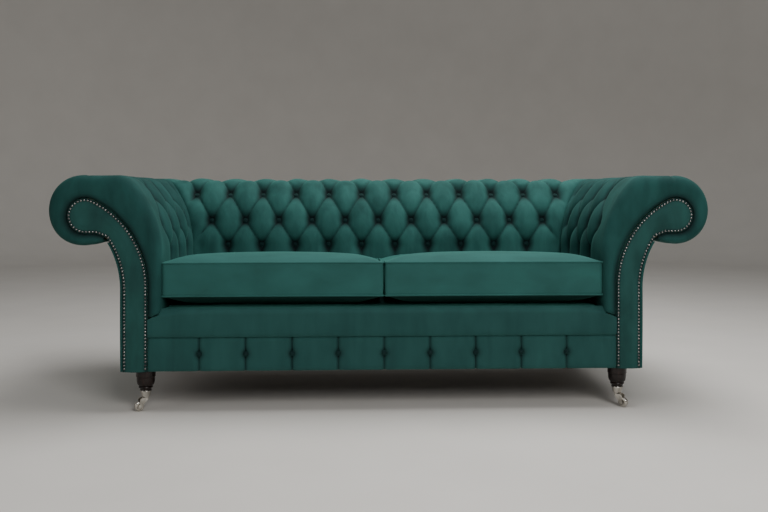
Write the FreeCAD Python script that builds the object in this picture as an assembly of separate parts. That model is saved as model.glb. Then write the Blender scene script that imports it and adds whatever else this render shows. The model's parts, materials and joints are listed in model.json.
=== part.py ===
import FreeCAD, Part
import math
import os

from FreeCAD import Vector

# Chesterfield sofa with two seat cushions. Millimetres, +Z up, front faces -Y,
# origin on the floor under the middle of the sofa.

# Overall sizes
overall_width = 2112.0
overall_depth = 940.0
overall_height = 751.0
leg_height = 131.0

# Arm and back section, measured outwards from the middle of the seat as "reach"
roll_radius = 106.0
pad_thickness = 38.0
pad_bottom_height = 300.0
pad_full_height = 352.0
tuck_bulge = 0.22
pad_spring_drop = 251.0
pad_shoulder_radius = 60.0
pad_shoulder_setback = 98.0
pad_front_easing = 26.0
board_face_setback = 194.0
board_spring_drop = 351.0
scroll_radius = 56.0
scroll_drop = 18.0
neck_setback = 118.0
neck_spring_drop = 360.0
neck_radius = 300.0
throat_rise = 5.0
fold_bow = 4.0
underside_drop = 102.0
board_thickness = 32.0
facing_thickness = 8.0
facing_chamfer = 2.0
panel_thickness = 8.0
fit_gap = 0.5
corner_setback = 70.0
corner_turns = 6
roll_facets = 12

# Timber
rail_thickness = 32.0
rail_height = 154.0
rail_inset = 12.0
tack_rail_height = 60.0
tack_rail_level = 340.0
roll_rail_width = 64.0
roll_rail_thickness = 40.0
post_inset = 57.0
cross_rail_spacing = 250.0
cross_rail_height = 60.0
corner_block_size = 70.0

# Suspension
webbing_width = 50.0
webbing_thickness = 2.0
webbing_gap = 0.4
webbing_ramp = 12.0
long_strap_pitch = 125.0
cross_strap_pitch = 118.0
upright_strap_spacing = 200.0
arm_strap_setback = 90.0
strap_clearance = 1.0
strap_foot_rise = 10.0
strap_end_gap = 4.0
strap_top_angle = 118.0
deck_height = 330.0

# Front border
border_end_gap = 6.0
border_setback = 3.0
border_thickness = 26.0
border_seam_height = 238.0
border_top_height = 332.0
border_panels = 10
border_end_panel_excess = 10.0
pleat_depth = 8.0
border_button_height = 185.0

# Cushions
cushion_gap = 2.0
cushion_clearance = 8.0
cushion_front_setback = 15.0
cushion_corner_radius = 32.0
cushion_corner_steps = 3
lower_seam_height = 369.0
upper_seam_height = 475.0
crown_top_height = 496.0
cushion_floor_gap = 0.6
crown_edge_share = 0.10
crown_flat_share = 0.29
crown_easing = 0.3
crown_share = 0.7
cover_thickness = 2.0

# Buttons
button_radius = 12.0
button_height = 7.0
button_sides = 8
back_tufts = 12
back_tuft_end = 3.0
arm_tufts = 4
arm_tuft_rear_inset = 37.0
arm_tuft_front_inset = 145.0
lower_row_rise = 24.0
middle_row_share = 0.485
upper_row_drop = 50.0
crown_row_setback = 50.0

# Legs and castors
front_leg_depth = 45.0
rear_leg_inset = 41.0
leg_top_radius = 31.0
leg_ring_height = 22.0
leg_ring_step = 1.5
leg_belly_radius = 28.0
leg_belly_height = 90.0
leg_waist_radius = 21.0
leg_waist_height = 80.5
leg_bead_radius = 22.5
leg_bead_height = 8.0
leg_bead_easing = 1.5
leg_end_height = 66.0
rear_leg_top = 52.0
rear_leg_foot = 36.0
plate_size = 64.0
plate_thickness = 5.0
bolt_radius = 4.0
bolt_depth = 40.0
dust_cover_thickness = 2.0
dust_cover_inset = 4.0
cup_bottom_height = 43.0
cup_top_radius = 18.0
cup_foot_radius = 12.5
cup_wall = 2.0
cup_floor = 3.0
wheel_radius = 15.5
wheel_width = 14.0
wheel_trail = 22.0
axle_radius = 3.0
axle_head_step = 1.8
axle_head_thickness = 1.5
running_gap = 0.05
side_gap = 0.6
horn_thickness = 2.5
horn_plate_thickness = 4.0
horn_eye_radius = 6.5
horn_back = 10.0
pintle_radius = 4.0
pintle_head_radius = 6.0
pintle_head_height = 1.6
swivel_gap = 0.5
left_castor_heading = 212.0
right_castor_heading = 313.0

# Places worked out from the sizes above
half_width = overall_width / 2
front_y = -overall_depth / 2
roll_reach = half_width - roll_radius
roll_height = overall_height - roll_radius
back_shift = half_width - overall_depth / 2
pad_reach = roll_reach - board_face_setback - pad_thickness
board_reach = roll_reach - board_face_setback
neck_reach = roll_reach - neck_setback
corner_reach = roll_reach - corner_setback
scroll_height = roll_height - scroll_drop
pad_spring_height = overall_height - pad_spring_drop
board_spring_height = overall_height - board_spring_drop
neck_spring_height = overall_height - neck_spring_drop
underside_height = roll_height - underside_drop
frame_bottom = leg_height + plate_thickness
rail_top = frame_bottom + rail_height
rail_reach = board_reach + rail_inset
board_y = front_y + facing_thickness
board_back_y = board_y + board_thickness
border_back_y = front_y + border_setback + border_thickness
rear_rail_y = rail_reach - back_shift
pad_back_y = pad_reach - back_shift
post_spacing = board_reach - post_inset
leg_spread = rail_reach
rear_leg_y = neck_reach - back_shift - rear_leg_inset
border_half_width = board_reach - border_end_gap
border_panel_width = 2 * (border_half_width - border_end_panel_excess) / border_panels
lower_row_height = upper_seam_height + lower_row_rise
upper_row_height = overall_height - upper_row_drop
middle_row_height = lower_row_height + (upper_row_height - lower_row_height) * middle_row_share
back_tuft_pitch = 2 * (pad_reach - back_tuft_end) / (back_tufts - 1)
arm_tuft_rear = pad_back_y - arm_tuft_rear_inset
arm_tuft_pitch = (arm_tuft_rear - front_y - arm_tuft_front_inset) / (arm_tufts - 1)

SIDES = {"left": -1, "right": 1}
UP = Vector(0, 0, 1)
DEPTHWARDS = Vector(0, 1, 0)
SIDEWAYS = Vector(1, 0, 0)


# Outlines: points are (reach, height) in an upright plane

def point(reach, height):
    return Vector(reach, 0, height)


def outline(start, *steps):
    """Closed wire; a step is a point for a line, or (through, end) for an arc."""
    edges = []
    here = start
    for step in steps:
        if isinstance(step, tuple):
            through, end = step
            edges.append(Part.Arc(here, through, end).toShape())
        else:
            end = step
            edges.append(Part.makeLine(here, end))
        here = end
    if here.distanceToPoint(start) > 1e-6:
        edges.append(Part.makeLine(here, start))
    return Part.Wire(edges)


def face_of(wire):
    return Part.Face(wire)


def around(centre, radius, degrees):
    angle = math.radians(degrees)
    return centre + Vector(radius * math.cos(angle), 0, radius * math.sin(angle))


def leaning_arc(face_reach, spring_height, centre, radius):
    """The arc that leaves an upright face at its spring and meets a circle in a tangent.

    Returns the arc's own centre, its radius, its middle point and its end on the circle."""
    across = centre.x - face_reach
    rise = centre.z - spring_height
    lean_radius = (across ** 2 + rise ** 2 - radius ** 2) / (2 * (across - radius))
    lean_centre = point(face_reach + lean_radius, spring_height)
    outward = (centre - lean_centre).normalize()
    end = centre + outward * radius
    end_angle = math.degrees(math.atan2(outward.z, outward.x))
    middle = around(lean_centre, lean_radius, (180 + end_angle) / 2)
    return lean_centre, lean_radius, middle, end


def neck_at(height, grow=0.0):
    """Point of the board's outer neck, where the outer panel lies, at a height."""
    radius = neck_radius - grow
    centre_reach = neck_reach + neck_radius
    rise = height - neck_spring_height
    return point(centre_reach - math.sqrt(radius ** 2 - rise ** 2), height)


def board_outline(grow=0.0, bottom=None):
    """Scroll outline of the boards and facings, grown all round by a clearance."""
    base = frame_bottom if bottom is None else bottom
    centre = point(roll_reach, scroll_height)
    radius = scroll_radius + grow
    face = board_reach - grow
    lean = leaning_arc(face, board_spring_height, centre, radius)
    scroll_bottom = around(centre, radius, -90)
    throat = neck_at(underside_height + throat_rise, grow)
    fold_end = scroll_bottom - Vector(radius * 0.6, 0, 0)
    fold_middle = Vector((throat.x + fold_end.x) / 2 - fold_bow, 0, (throat.z + fold_end.z) / 2 + fold_bow)
    neck_low = neck_at(neck_spring_height, grow)
    neck_middle = neck_at((neck_spring_height + throat.z) / 2, grow)
    return outline(
        point(face, base),
        point(face, board_spring_height),
        (lean[2], lean[3]),
        (around(centre, radius, 0), scroll_bottom),
        fold_end,
        (fold_middle, throat),
        (neck_middle, neck_low),
        point(neck_low.x, base),
    )


def notch():
    """Where the roll's underside meets the outer panel."""
    return point(roll_reach - roll_radius * 0.5, underside_height)


def pad_outline(ease=0.0):
    """Outside of an arm or back pad, closed through the middle of the boards, drawn in by an easing."""
    shoulder = point(roll_reach - pad_shoulder_setback, overall_height - pad_shoulder_radius)
    face = pad_reach + ease
    shoulder_radius = pad_shoulder_radius - ease
    radius = roll_radius - ease
    lean = leaning_arc(face, pad_spring_height, shoulder, shoulder_radius)
    roll = point(roll_reach, roll_height)
    tuck = point(board_reach - pad_thickness * 0.2, pad_bottom_height)
    full = point(face, pad_full_height)
    across = full - tuck
    tuck_middle = (tuck + full) * 0.5 + point(-across.z, across.x) * tuck_bulge
    shoulder_middle = around(shoulder, shoulder_radius, 125)
    inside = (board_reach + neck_reach) / 2
    return outline(
        tuck,
        (tuck_middle, full),
        point(face, pad_spring_height),
        (lean[2], lean[3]),
        (shoulder_middle, around(shoulder, shoulder_radius, 90)),
        around(roll, radius, 90),
        (around(roll, radius, 0), around(roll, radius, -90)),
        notch(),
        point(inside, underside_height),
        point(inside, pad_bottom_height),
    )


def panel_outline():
    """Skin of the outer arm and the outer back, from the underside of the frame to the roll."""
    top = underside_height - fit_gap
    inner_low = neck_at(neck_spring_height, fit_gap)
    outer_low = neck_at(neck_spring_height, panel_thickness)
    middle = (neck_spring_height + top) / 2
    return outline(
        point(inner_low.x, leg_height),
        inner_low,
        (neck_at(middle, fit_gap), neck_at(top, fit_gap)),
        neck_at(top, panel_thickness),
        (neck_at(middle, panel_thickness), outer_low),
        point(outer_low.x, leg_height),
    )


# Placing sections: along an arm, or across the back

def along_arm(wire, y_start, y_end):
    face = face_of(wire)
    face.translate(Vector(0, y_start, 0))
    return face.extrude(Vector(0, y_end - y_start, 0))


def across_back(wire, x_start, x_end):
    face = face_of(wire)
    face.rotate(Vector(0, 0, 0), UP, 90)
    face.translate(Vector(x_start, -back_shift, 0))
    return face.extrude(Vector(x_end - x_start, 0, 0))


def to_side(shape, side):
    return shape if side > 0 else shape.mirror(Vector(0, 0, 0), SIDEWAYS)


def box(x_low, x_high, y_low, y_high, z_low, z_high):
    return Part.makeBox(x_high - x_low, y_high - y_low, z_high - z_low, Vector(x_low, y_low, z_low))


def plan_prism(points):
    """Upright prism through the whole height over an outline in plan."""
    corners = [Vector(x, y, 0) for x, y in points]
    return Part.Face(Part.makePolygon(corners + corners[:1])).extrude(UP * overall_height * 1.2)


def behind_mitre():
    """Everything behind the seam where the right arm meets the back."""
    axis_y = corner_reach - back_shift
    return plan_prism([
        (0, -back_shift),
        (corner_reach, axis_y),
        (half_width * 1.2, axis_y),
        (half_width * 1.2, overall_depth),
        (0, overall_depth),
    ])


def before_mitre(side):
    """Everything in front of the seam, on one arm's side."""
    axis_y = corner_reach - back_shift
    far = half_width * 1.2
    corners = [
        (side * (back_shift - overall_depth), -overall_depth),
        (side * corner_reach, axis_y),
        (side * corner_reach, overall_depth),
        (side * far, overall_depth),
        (side * far, -overall_depth),
    ]
    return plan_prism(corners)


def single(shape):
    """The one solid of a boolean result, with seams between like faces removed."""
    cleaned = shape.removeSplitter()
    return cleaned.Solids[0] if len(cleaned.Solids) == 1 else cleaned


def group(solids):
    return Part.makeCompound(solids)


def faceted(rings):
    """Closed solid of flat facets through rings of corners whose matching sides run parallel."""
    faces = [Part.Face(Part.makePolygon(ring + ring[:1])) for ring in (rings[0], rings[-1])]
    for lower, upper in zip(rings, rings[1:]):
        for k in range(len(lower)):
            following = (k + 1) % len(lower)
            corners = [lower[k], lower[following], upper[following], upper[k]]
            apart = [c for c, d in zip(corners, corners[1:] + corners[:1]) if c.distanceToPoint(d) > 1e-6]
            if len(apart) > 2:
                faces.append(Part.Face(Part.makePolygon(apart + apart[:1])))
    solid = Part.Solid(Part.Shell(faces))
    solid.fixTolerance(1e-4)
    return solid if solid.Volume > 0 else solid.reversed()


# Timber frame

def scroll_board():
    return board_outline()


def rail_slots(clearance):
    """Space that the long rails take out of a board that they pass, as section rectangles."""
    tack = (rail_reach, rail_reach + rail_thickness, tack_rail_level, tack_rail_level + tack_rail_height)
    roll_low = roll_reach - roll_rail_width / 2
    roll = (roll_low, roll_low + roll_rail_width, scroll_height - roll_rail_thickness / 2,
            scroll_height + roll_rail_thickness / 2)
    seat = (rail_reach, rail_reach + rail_thickness, frame_bottom, rail_top)
    slots = []
    for reach_low, reach_high, low, high in (tack, roll, seat):
        slots.append(outline(
            point(reach_low - clearance, low - clearance),
            point(reach_low - clearance, high + clearance),
            point(reach_high + clearance, high + clearance),
            point(reach_high + clearance, low - clearance),
        ))
    return slots


def front_scroll_board():
    return along_arm(scroll_board(), board_y, board_back_y)


def rear_scroll_board():
    rear_y = rear_rail_y - board_thickness
    board = along_arm(scroll_board(), rear_y, rear_y + board_thickness)
    for slot in rail_slots(fit_gap / 5):
        board = board.cut(along_arm(slot, rear_y - 1.0, rear_y + board_thickness + 1.0))
    return single(board)


def back_post(x_centre):
    x_low = x_centre - board_thickness / 2
    post = across_back(scroll_board(), x_low, x_low + board_thickness)
    for slot in rail_slots(fit_gap / 5):
        post = post.cut(across_back(slot, x_low - 1.0, x_low + board_thickness + 1.0))
    return single(post)


def arm_rail(slot_number, y_end):
    return along_arm(rail_slots(0.0)[slot_number], board_back_y, y_end)


def back_rail(slot_number, half_length):
    return across_back(rail_slots(0.0)[slot_number], -half_length, half_length)


def front_rail():
    reach = board_reach - fit_gap / 5
    y_low = border_back_y
    rail = box(-reach, reach, y_low, y_low + rail_thickness, frame_bottom, rail_top)
    front_edges = [e for e in rail.Edges
                   if abs(e.CenterOfMass.z - rail_top) < 0.1 and abs(e.CenterOfMass.y - y_low) < 0.1]
    return rail.makeFillet(6.0, front_edges)


def cross_rails():
    y_low = border_back_y + rail_thickness
    solids = []
    for x_centre in (-cross_rail_spacing, cross_rail_spacing):
        x_low = x_centre - rail_thickness / 2
        solids.append(box(x_low, x_low + rail_thickness, y_low, rear_rail_y,
                          frame_bottom, frame_bottom + cross_rail_height))
    return group(solids)


def corner_blocks():
    """Triangular glue blocks inside the four corners of the seat frame."""
    y_front = border_back_y + rail_thickness
    y_post = board_reach - back_shift
    solids = []
    for side in SIDES.values():
        for x_out, y_corner, inward in ((rail_reach, y_front, 1), (board_reach, y_post, -1)):
            corners = [
                Vector(side * x_out, y_corner, frame_bottom),
                Vector(side * (x_out - corner_block_size), y_corner, frame_bottom),
                Vector(side * x_out, y_corner + inward * corner_block_size, frame_bottom),
            ]
            face = Part.Face(Part.makePolygon(corners + corners[:1]))
            solids.append(face.extrude(UP * rail_height * 0.6))
    return group(solids)


# Suspension

def laced_path(start, end, crossings, first_over):
    """Centre line of a strap that passes over and under the straps it crosses, as (along, height)."""
    low = rail_top + webbing_thickness / 2
    lift = webbing_thickness + webbing_gap
    path = [(start, low)]
    over = first_over
    for crossing in crossings:
        if over:
            flat = webbing_width / 2 + 1.0
            path.append((crossing - flat - webbing_ramp, low))
            path.append((crossing - flat, low + lift))
            path.append((crossing + flat, low + lift))
            path.append((crossing + flat + webbing_ramp, low))
        over = not over
    path.append((end, low))
    return path


def strap(path, centre, along_y):
    """Flat strap, a band of even thickness round its path."""
    half = webbing_thickness / 2
    upper = [(a, z + half) for a, z in path]
    lower = [(a, z - half) for a, z in reversed(path)]
    start = centre - webbing_width / 2
    if along_y:
        corners = [Vector(start, a, z) for a, z in upper + lower]
        direction = SIDEWAYS
    else:
        corners = [Vector(a, start, z) for a, z in upper + lower]
        direction = DEPTHWARDS
    return Part.Face(Part.makePolygon(corners + corners[:1])).extrude(direction * webbing_width)


def spread(middle, half_length, pitch, margin):
    """Even places either side of a middle, an even number of them, as many as fit."""
    count = int((half_length - margin) // pitch + 0.5)
    return [middle + pitch * (k + 0.5) for k in range(-count, count)]


def seat_webbing():
    y_front = border_back_y + 2 * strap_end_gap
    y_rear = rear_rail_y + rail_thickness - strap_end_gap
    x_end = rail_reach + rail_thickness - strap_end_gap
    y_middle = (border_back_y + rail_thickness + rear_rail_y) / 2
    clear_half_depth = (rear_rail_y - border_back_y - rail_thickness) / 2
    x_places = spread(0.0, rail_reach, long_strap_pitch, webbing_width)
    y_places = spread(y_middle, clear_half_depth, cross_strap_pitch, webbing_width)
    lengthwise = []
    for number, x in enumerate(x_places):
        lengthwise.append(strap(laced_path(y_front, y_rear, y_places, number % 2 == 0), x, True))
    crosswise = []
    for number, y in enumerate(y_places):
        crosswise.append(strap(laced_path(-x_end, x_end, x_places, number % 2 == 1), y, False))
    return group(lengthwise), group(crosswise)


def upright_strap_outline():
    """Strap bent over the inside of the boards, from the tack rail up to the roll rail."""
    centre = point(roll_reach, scroll_height)
    _, lean_radius, _, _ = leaning_arc(board_reach, board_spring_height, centre, scroll_radius)
    lean_centre = point(board_reach + lean_radius, board_spring_height)
    outer = lean_radius - strap_clearance
    inner = outer - webbing_thickness
    low = tack_rail_level + strap_foot_rise
    sweep = strap_top_angle
    middle = (180.0 + sweep) / 2
    near = board_reach + strap_clearance
    far = near + webbing_thickness
    return outline(
        point(near, low),
        point(near, board_spring_height),
        (around(lean_centre, outer, middle), around(lean_centre, outer, sweep)),
        around(lean_centre, inner, sweep),
        (around(lean_centre, inner, middle), point(far, board_spring_height)),
        point(far, low),
    )


def upright_webbing_of_arm():
    first = board_back_y + arm_strap_setback
    places = (first, first + upright_strap_spacing)
    return [along_arm(upright_strap_outline(), y, y + webbing_width) for y in places]


def upright_webbing_of_back():
    solids = []
    for side in (-1, 1):
        for number in range(3):
            centre = side * upright_strap_spacing * (number + 0.5)
            solids.append(across_back(upright_strap_outline(), centre - webbing_width / 2,
                                      centre + webbing_width / 2))
    return group(solids)


def seat_deck():
    top_of_webbing = rail_top + 2 * webbing_thickness + webbing_gap
    reach = pad_reach - fit_gap * 4
    deck = box(-reach, reach, border_back_y + fit_gap, pad_back_y - fit_gap * 4, top_of_webbing, deck_height)
    return deck


# Padding and covers

def arm_pad():
    """Straight pad whose front edge draws in towards the facing."""
    full_y = board_y + pad_front_easing
    front_wire = pad_outline(pad_front_easing)
    front_wire.translate(DEPTHWARDS * board_y)
    full_wire = pad_outline()
    full_wire.translate(DEPTHWARDS * full_y)
    front = Part.makeLoft([front_wire, full_wire], True, True)
    pad = front.fuse(along_arm(pad_outline(), full_y, overall_depth))
    pad = pad.cut(along_arm(board_outline(fit_gap), front_y, overall_depth))
    return single(pad.cut(behind_mitre()))


def roll_section():
    """Flat facets round the roll beyond the axis that it turns about at a rear corner."""
    roll = point(roll_reach, roll_height)
    turned_points = [around(roll, roll_radius, 90 - 180 * k / roll_facets) for k in range(roll_facets + 1)]
    ends = [notch(), point(corner_reach, underside_height)]
    return [point(corner_reach, overall_height)] + turned_points + ends


def hollow_section():
    """Six-sided hollow round the ends of the roll rails."""
    centre = point(roll_reach, scroll_height)
    reach = (scroll_radius + fit_gap) / math.cos(math.radians(30))
    return [around(centre, reach, 60 * k) for k in range(6)]


def round_the_corner(section):
    """Solid of flat facets that carries a section round a rear corner in even turns."""
    axis = Vector(corner_reach, corner_reach - back_shift, 0)
    rings = []
    for turn in range(corner_turns + 1):
        angle = math.radians(90 * turn / corner_turns)
        heading = Vector(math.cos(angle), math.sin(angle), 0)
        rings.append([axis + heading * (c.x - corner_reach) + UP * c.z for c in section])
    return faceted(rings)


def back_pad():
    """Straight pad between the mitres, and the roll turned round both rear corners."""
    pad = across_back(pad_outline(), -half_width, half_width)
    pad = pad.cut(across_back(board_outline(fit_gap), -half_width, half_width))
    for side in SIDES.values():
        pad = pad.cut(before_mitre(side))
    corner = round_the_corner(roll_section()).cut(round_the_corner(hollow_section()))
    return group([single(pad)] + [to_side(single(corner), side) for side in SIDES.values()])


def arm_facing():
    facing = along_arm(board_outline(0.0, leg_height), front_y, board_y - fit_gap)
    front_edges = [e for e in facing.Edges if all(abs(v.Y - front_y) < 0.01 for v in e.Vertexes)]
    return facing.makeChamfer(facing_chamfer, front_edges)


def outer_arm_panel():
    panel = along_arm(panel_outline(), board_y, overall_depth)
    return single(panel.cut(behind_mitre()))


def outer_back_panel():
    panel = across_back(panel_outline(), -half_width, half_width)
    for side in SIDES.values():
        panel = panel.cut(before_mitre(side))
    return single(panel)


def dust_cover():
    reach = neck_reach - dust_cover_inset
    y_rear = reach - back_shift
    low = leg_height
    cover = box(-reach, reach, border_back_y + fit_gap, y_rear, low, low + dust_cover_thickness)
    for x, y in leg_places():
        half = plate_size / 2 + fit_gap
        cover = cover.cut(box(x - half, x + half, y - half, y + half, 0.0, overall_height))
    return single(cover)


def upper_border():
    """Plain band in front of the seat frame, rounded over at its top edge."""
    front = border_back_y - border_thickness
    step = pad_bottom_height - fit_gap
    reach = pad_reach - fit_gap * 4
    lower = box(-border_half_width, border_half_width, front, border_back_y, border_seam_height + fit_gap, step)
    band = lower.fuse(box(-reach, reach, front, border_back_y, step, border_top_height)).removeSplitter()
    front_edges = [e for e in band.Edges
                   if abs(e.CenterOfMass.z - border_top_height) < 0.1 and abs(e.CenterOfMass.y - front) < 0.1]
    return band.makeFillet(border_thickness * 0.6, front_edges)


def pleat_places():
    half = border_panels // 2
    return [border_panel_width * k for k in range(-half + 1, half)]


def pleated_border():
    """Band of bulging panels with an upright pleat between each two."""
    front = border_back_y - border_thickness
    pleats = [-border_half_width] + pleat_places() + [border_half_width]
    edges = []
    for left, right in zip(pleats, pleats[1:]):
        start = Vector(left, front + pleat_depth, 0)
        end = Vector(right, front + pleat_depth, 0)
        edges.append(Part.Arc(start, Vector((left + right) / 2, front, 0), end).toShape())
    corner = Vector(border_half_width, border_back_y, 0)
    opposite = Vector(-border_half_width, border_back_y, 0)
    edges.append(Part.makeLine(edges[-1].Vertexes[-1].Point, corner))
    edges.append(Part.makeLine(corner, opposite))
    edges.append(Part.makeLine(opposite, edges[0].Vertexes[0].Point))
    face = Part.Face(Part.Wire(edges))
    face.translate(UP * leg_height)
    return face.extrude(UP * (border_seam_height - leg_height))


# Cushions

def eased_rectangle(x_low, x_high, y_low, y_high, radius, height):
    """Rectangle whose corners are turned in a few straight steps along an arc."""
    corners = (
        (x_high - radius, y_low + radius, -90),
        (x_high - radius, y_high - radius, 0),
        (x_low + radius, y_high - radius, 90),
        (x_low + radius, y_low + radius, 180),
    )
    points = []
    for x, y, start in corners:
        for step in range(cushion_corner_steps + 1):
            angle = math.radians(start + 90 * step / cushion_corner_steps)
            points.append(Vector(x + radius * math.cos(angle), y + radius * math.sin(angle), height))
    return points


def cushion_form(inset):
    """Crowned cushion, thickest in its middle, drawn in on every side by an inset."""
    x_low = cushion_gap / 2 + inset
    x_high = pad_reach - cushion_clearance - inset
    y_low = front_y + cushion_front_setback + inset
    y_high = pad_back_y - cushion_clearance - inset
    floor = deck_height + cushion_floor_gap + inset
    crown = crown_top_height - inset
    lower_seam = lower_seam_height + inset
    upper_seam = upper_seam_height - inset
    edge_inset = (y_high - y_low) * crown_edge_share
    flat_inset = (y_high - y_low) * crown_flat_share
    levels = [
        (floor, flat_inset),
        (lower_seam - (lower_seam - floor) * crown_share, edge_inset),
        (lower_seam, 0.0),
        (upper_seam, 0.0),
        (upper_seam + (crown - upper_seam) * crown_share, edge_inset),
        (crown, flat_inset),
    ]
    rings = []
    for height, draw_in in levels:
        radius = cushion_corner_radius + draw_in * crown_easing
        rings.append(eased_rectangle(x_low + draw_in, x_high - draw_in, y_low + draw_in, y_high - draw_in,
                                     radius, height))
    return faceted(rings)


def cushion_cover():
    return cushion_form(0.0).cut(cushion_form(cover_thickness))


def cushion_core():
    return cushion_form(cover_thickness + fit_gap)


# Buttons

def button(place, outward):
    """Covered button: a flat back and a top that draws in towards its middle."""
    def ring(radius, height):
        corners = []
        for k in range(button_sides):
            angle = 2 * math.pi * (k + 0.5) / button_sides
            corners.append(Vector(radius * math.cos(angle), radius * math.sin(angle), height))
        return corners
    shape = faceted([ring(button_radius, 0.0), ring(button_radius * 0.6, button_height)])
    shape.Placement = FreeCAD.Placement(place, FreeCAD.Rotation(UP, outward))
    return shape


def on_pad(height):
    """Point of the pad's face at a height, and the direction that the face looks in."""
    if height <= pad_spring_height:
        return point(pad_reach, height), point(-1, 0)
    shoulder = point(roll_reach - pad_shoulder_setback, overall_height - pad_shoulder_radius)
    lean_centre, lean_radius, _, _ = leaning_arc(pad_reach, pad_spring_height, shoulder, pad_shoulder_radius)
    rise = height - lean_centre.z
    outward = point(-math.sqrt(lean_radius ** 2 - rise ** 2), rise) * (1 / lean_radius)
    return lean_centre + outward * lean_radius, outward


def tuft_rows():
    """The rows of buttons on the pad's section, lowest first, as (place, outward direction)."""
    rows = [on_pad(height) for height in (lower_row_height, middle_row_height, upper_row_height)]
    rows.append((point(roll_reach - crown_row_setback, overall_height), UP))
    return rows


def staggered(pitch, count):
    return [pitch * (k - (count - 1) / 2) for k in range(count)]


def back_buttons():
    counts = (back_tufts - 2, back_tufts - 1, back_tufts, back_tufts - 1)
    solids = []
    for (place, outward), count in zip(tuft_rows(), counts):
        turned_place = Vector(0, place.x - back_shift, place.z)
        turned_out = Vector(0, outward.x, outward.z)
        for x in staggered(back_tuft_pitch, count):
            solids.append(button(turned_place + SIDEWAYS * x, turned_out))
    return group(solids)


def arm_buttons():
    solids = []
    for number, (place, outward) in enumerate(tuft_rows()):
        full_row = number % 2 == 1
        count = arm_tufts if full_row else arm_tufts - 1
        first = arm_tuft_rear if full_row else arm_tuft_rear - arm_tuft_pitch / 2
        for k in range(count):
            solids.append(button(place + DEPTHWARDS * (first - arm_tuft_pitch * k), outward))
    return group(solids)


def border_buttons():
    y = border_back_y - border_thickness + pleat_depth * 0.6
    return group([button(Vector(x, y, border_button_height), Vector(0, -1, 0)) for x in pleat_places()])


# Legs

def leg_places():
    front = front_y + front_leg_depth
    return [(-leg_spread, front), (leg_spread, front), (-leg_spread, rear_leg_y), (leg_spread, rear_leg_y)]


def turned(profile, x, y):
    """Solid of revolution from (radius, height) points, about an upright axis."""
    corners = [Vector(radius, 0, height) for radius, height in profile]
    face = Part.Face(Part.makePolygon(corners + corners[:1]))
    solid = face.revolve(Vector(0, 0, 0), UP, 360)
    solid.translate(Vector(x, y, 0))
    return solid


def bolt_hole(x, y):
    return Part.makeCylinder(bolt_radius + running_gap, bolt_depth, Vector(x, y, leg_height - bolt_depth))


def front_leg(x, y):
    """Turned leg: a deep top ring, a rounded taper, a bead above the castor, and a tenon in its cup."""
    top = leg_height
    bead_low = leg_waist_height - leg_bead_height
    tenon_top, tenon_end = tenon_radii()
    solid = turned([
        (0, top),
        (leg_top_radius, top),
        (leg_top_radius, top - leg_ring_height),
        (leg_top_radius - leg_ring_step, top - leg_ring_height - leg_ring_step),
        (leg_belly_radius, leg_belly_height),
        (leg_waist_radius, leg_waist_height),
        (leg_bead_radius, leg_waist_height - leg_bead_easing),
        (leg_bead_radius, bead_low + leg_bead_easing),
        (cup_top_radius, bead_low),
        (cup_top_radius, leg_end_height),
        (tenon_top, leg_end_height),
        (tenon_end, cup_bottom_height + cup_floor),
        (0, cup_bottom_height + cup_floor),
    ], x, y)
    return solid.cut(bolt_hole(x, y))


def rear_leg(x, y):
    def square(width, height):
        half = width / 2
        return [Vector(x - half, y - half, height), Vector(x + half, y - half, height),
                Vector(x + half, y + half, height), Vector(x - half, y + half, height)]
    leg = faceted([square(rear_leg_foot, 0.0), square(rear_leg_top, leg_height)])
    return leg.cut(bolt_hole(x, y))


def leg_plates():
    solids = []
    for x, y in leg_places():
        half = plate_size / 2
        y_low = max(y - half, border_back_y + fit_gap)
        plate = box(x - half, x + half, y_low, y + half, leg_height, leg_height + plate_thickness)
        hole = Part.makeCylinder(bolt_radius + running_gap, overall_height, Vector(x, y, 0))
        solids.append(plate.cut(hole))
    return group(solids)


def leg_bolts():
    length = bolt_depth - 2.0 + plate_thickness
    return group([Part.makeCylinder(bolt_radius, length, Vector(x, y, leg_height + plate_thickness - length))
                  for x, y in leg_places()])


# Castors, drawn with the swivel axis at the origin and the wheel trailing along +X

def tenon_radii():
    """Radii of the leg's end inside the cup, at the cup's rim and on its floor."""
    slope = (cup_top_radius - cup_foot_radius) / (leg_end_height - cup_bottom_height)
    rim = cup_top_radius - cup_wall
    return rim, rim - slope * (leg_end_height - cup_bottom_height - cup_floor)


def castor_cup(x, y):
    rim, floor_radius = tenon_radii()
    floor = cup_bottom_height + cup_floor
    return turned([
        (pintle_radius, cup_bottom_height),
        (cup_foot_radius, cup_bottom_height),
        (cup_top_radius, leg_end_height - 0.2),
        (rim + 0.1, leg_end_height - 0.2),
        (floor_radius + 0.1, floor),
        (pintle_radius, floor),
    ], x, y)


def horn_top():
    return cup_bottom_height - swivel_gap


def pintle(x, y):
    """Upright pivot riveted in the cup, with a head under the horn."""
    plate_low = horn_top() - horn_plate_thickness
    return turned([
        (0, cup_bottom_height + cup_floor),
        (pintle_radius, cup_bottom_height + cup_floor),
        (pintle_radius, plate_low - side_gap / 2),
        (pintle_head_radius, plate_low - side_gap / 2),
        (pintle_head_radius, plate_low - side_gap / 2 - pintle_head_height),
        (0, plate_low - side_gap / 2 - pintle_head_height),
    ], x, y)


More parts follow.
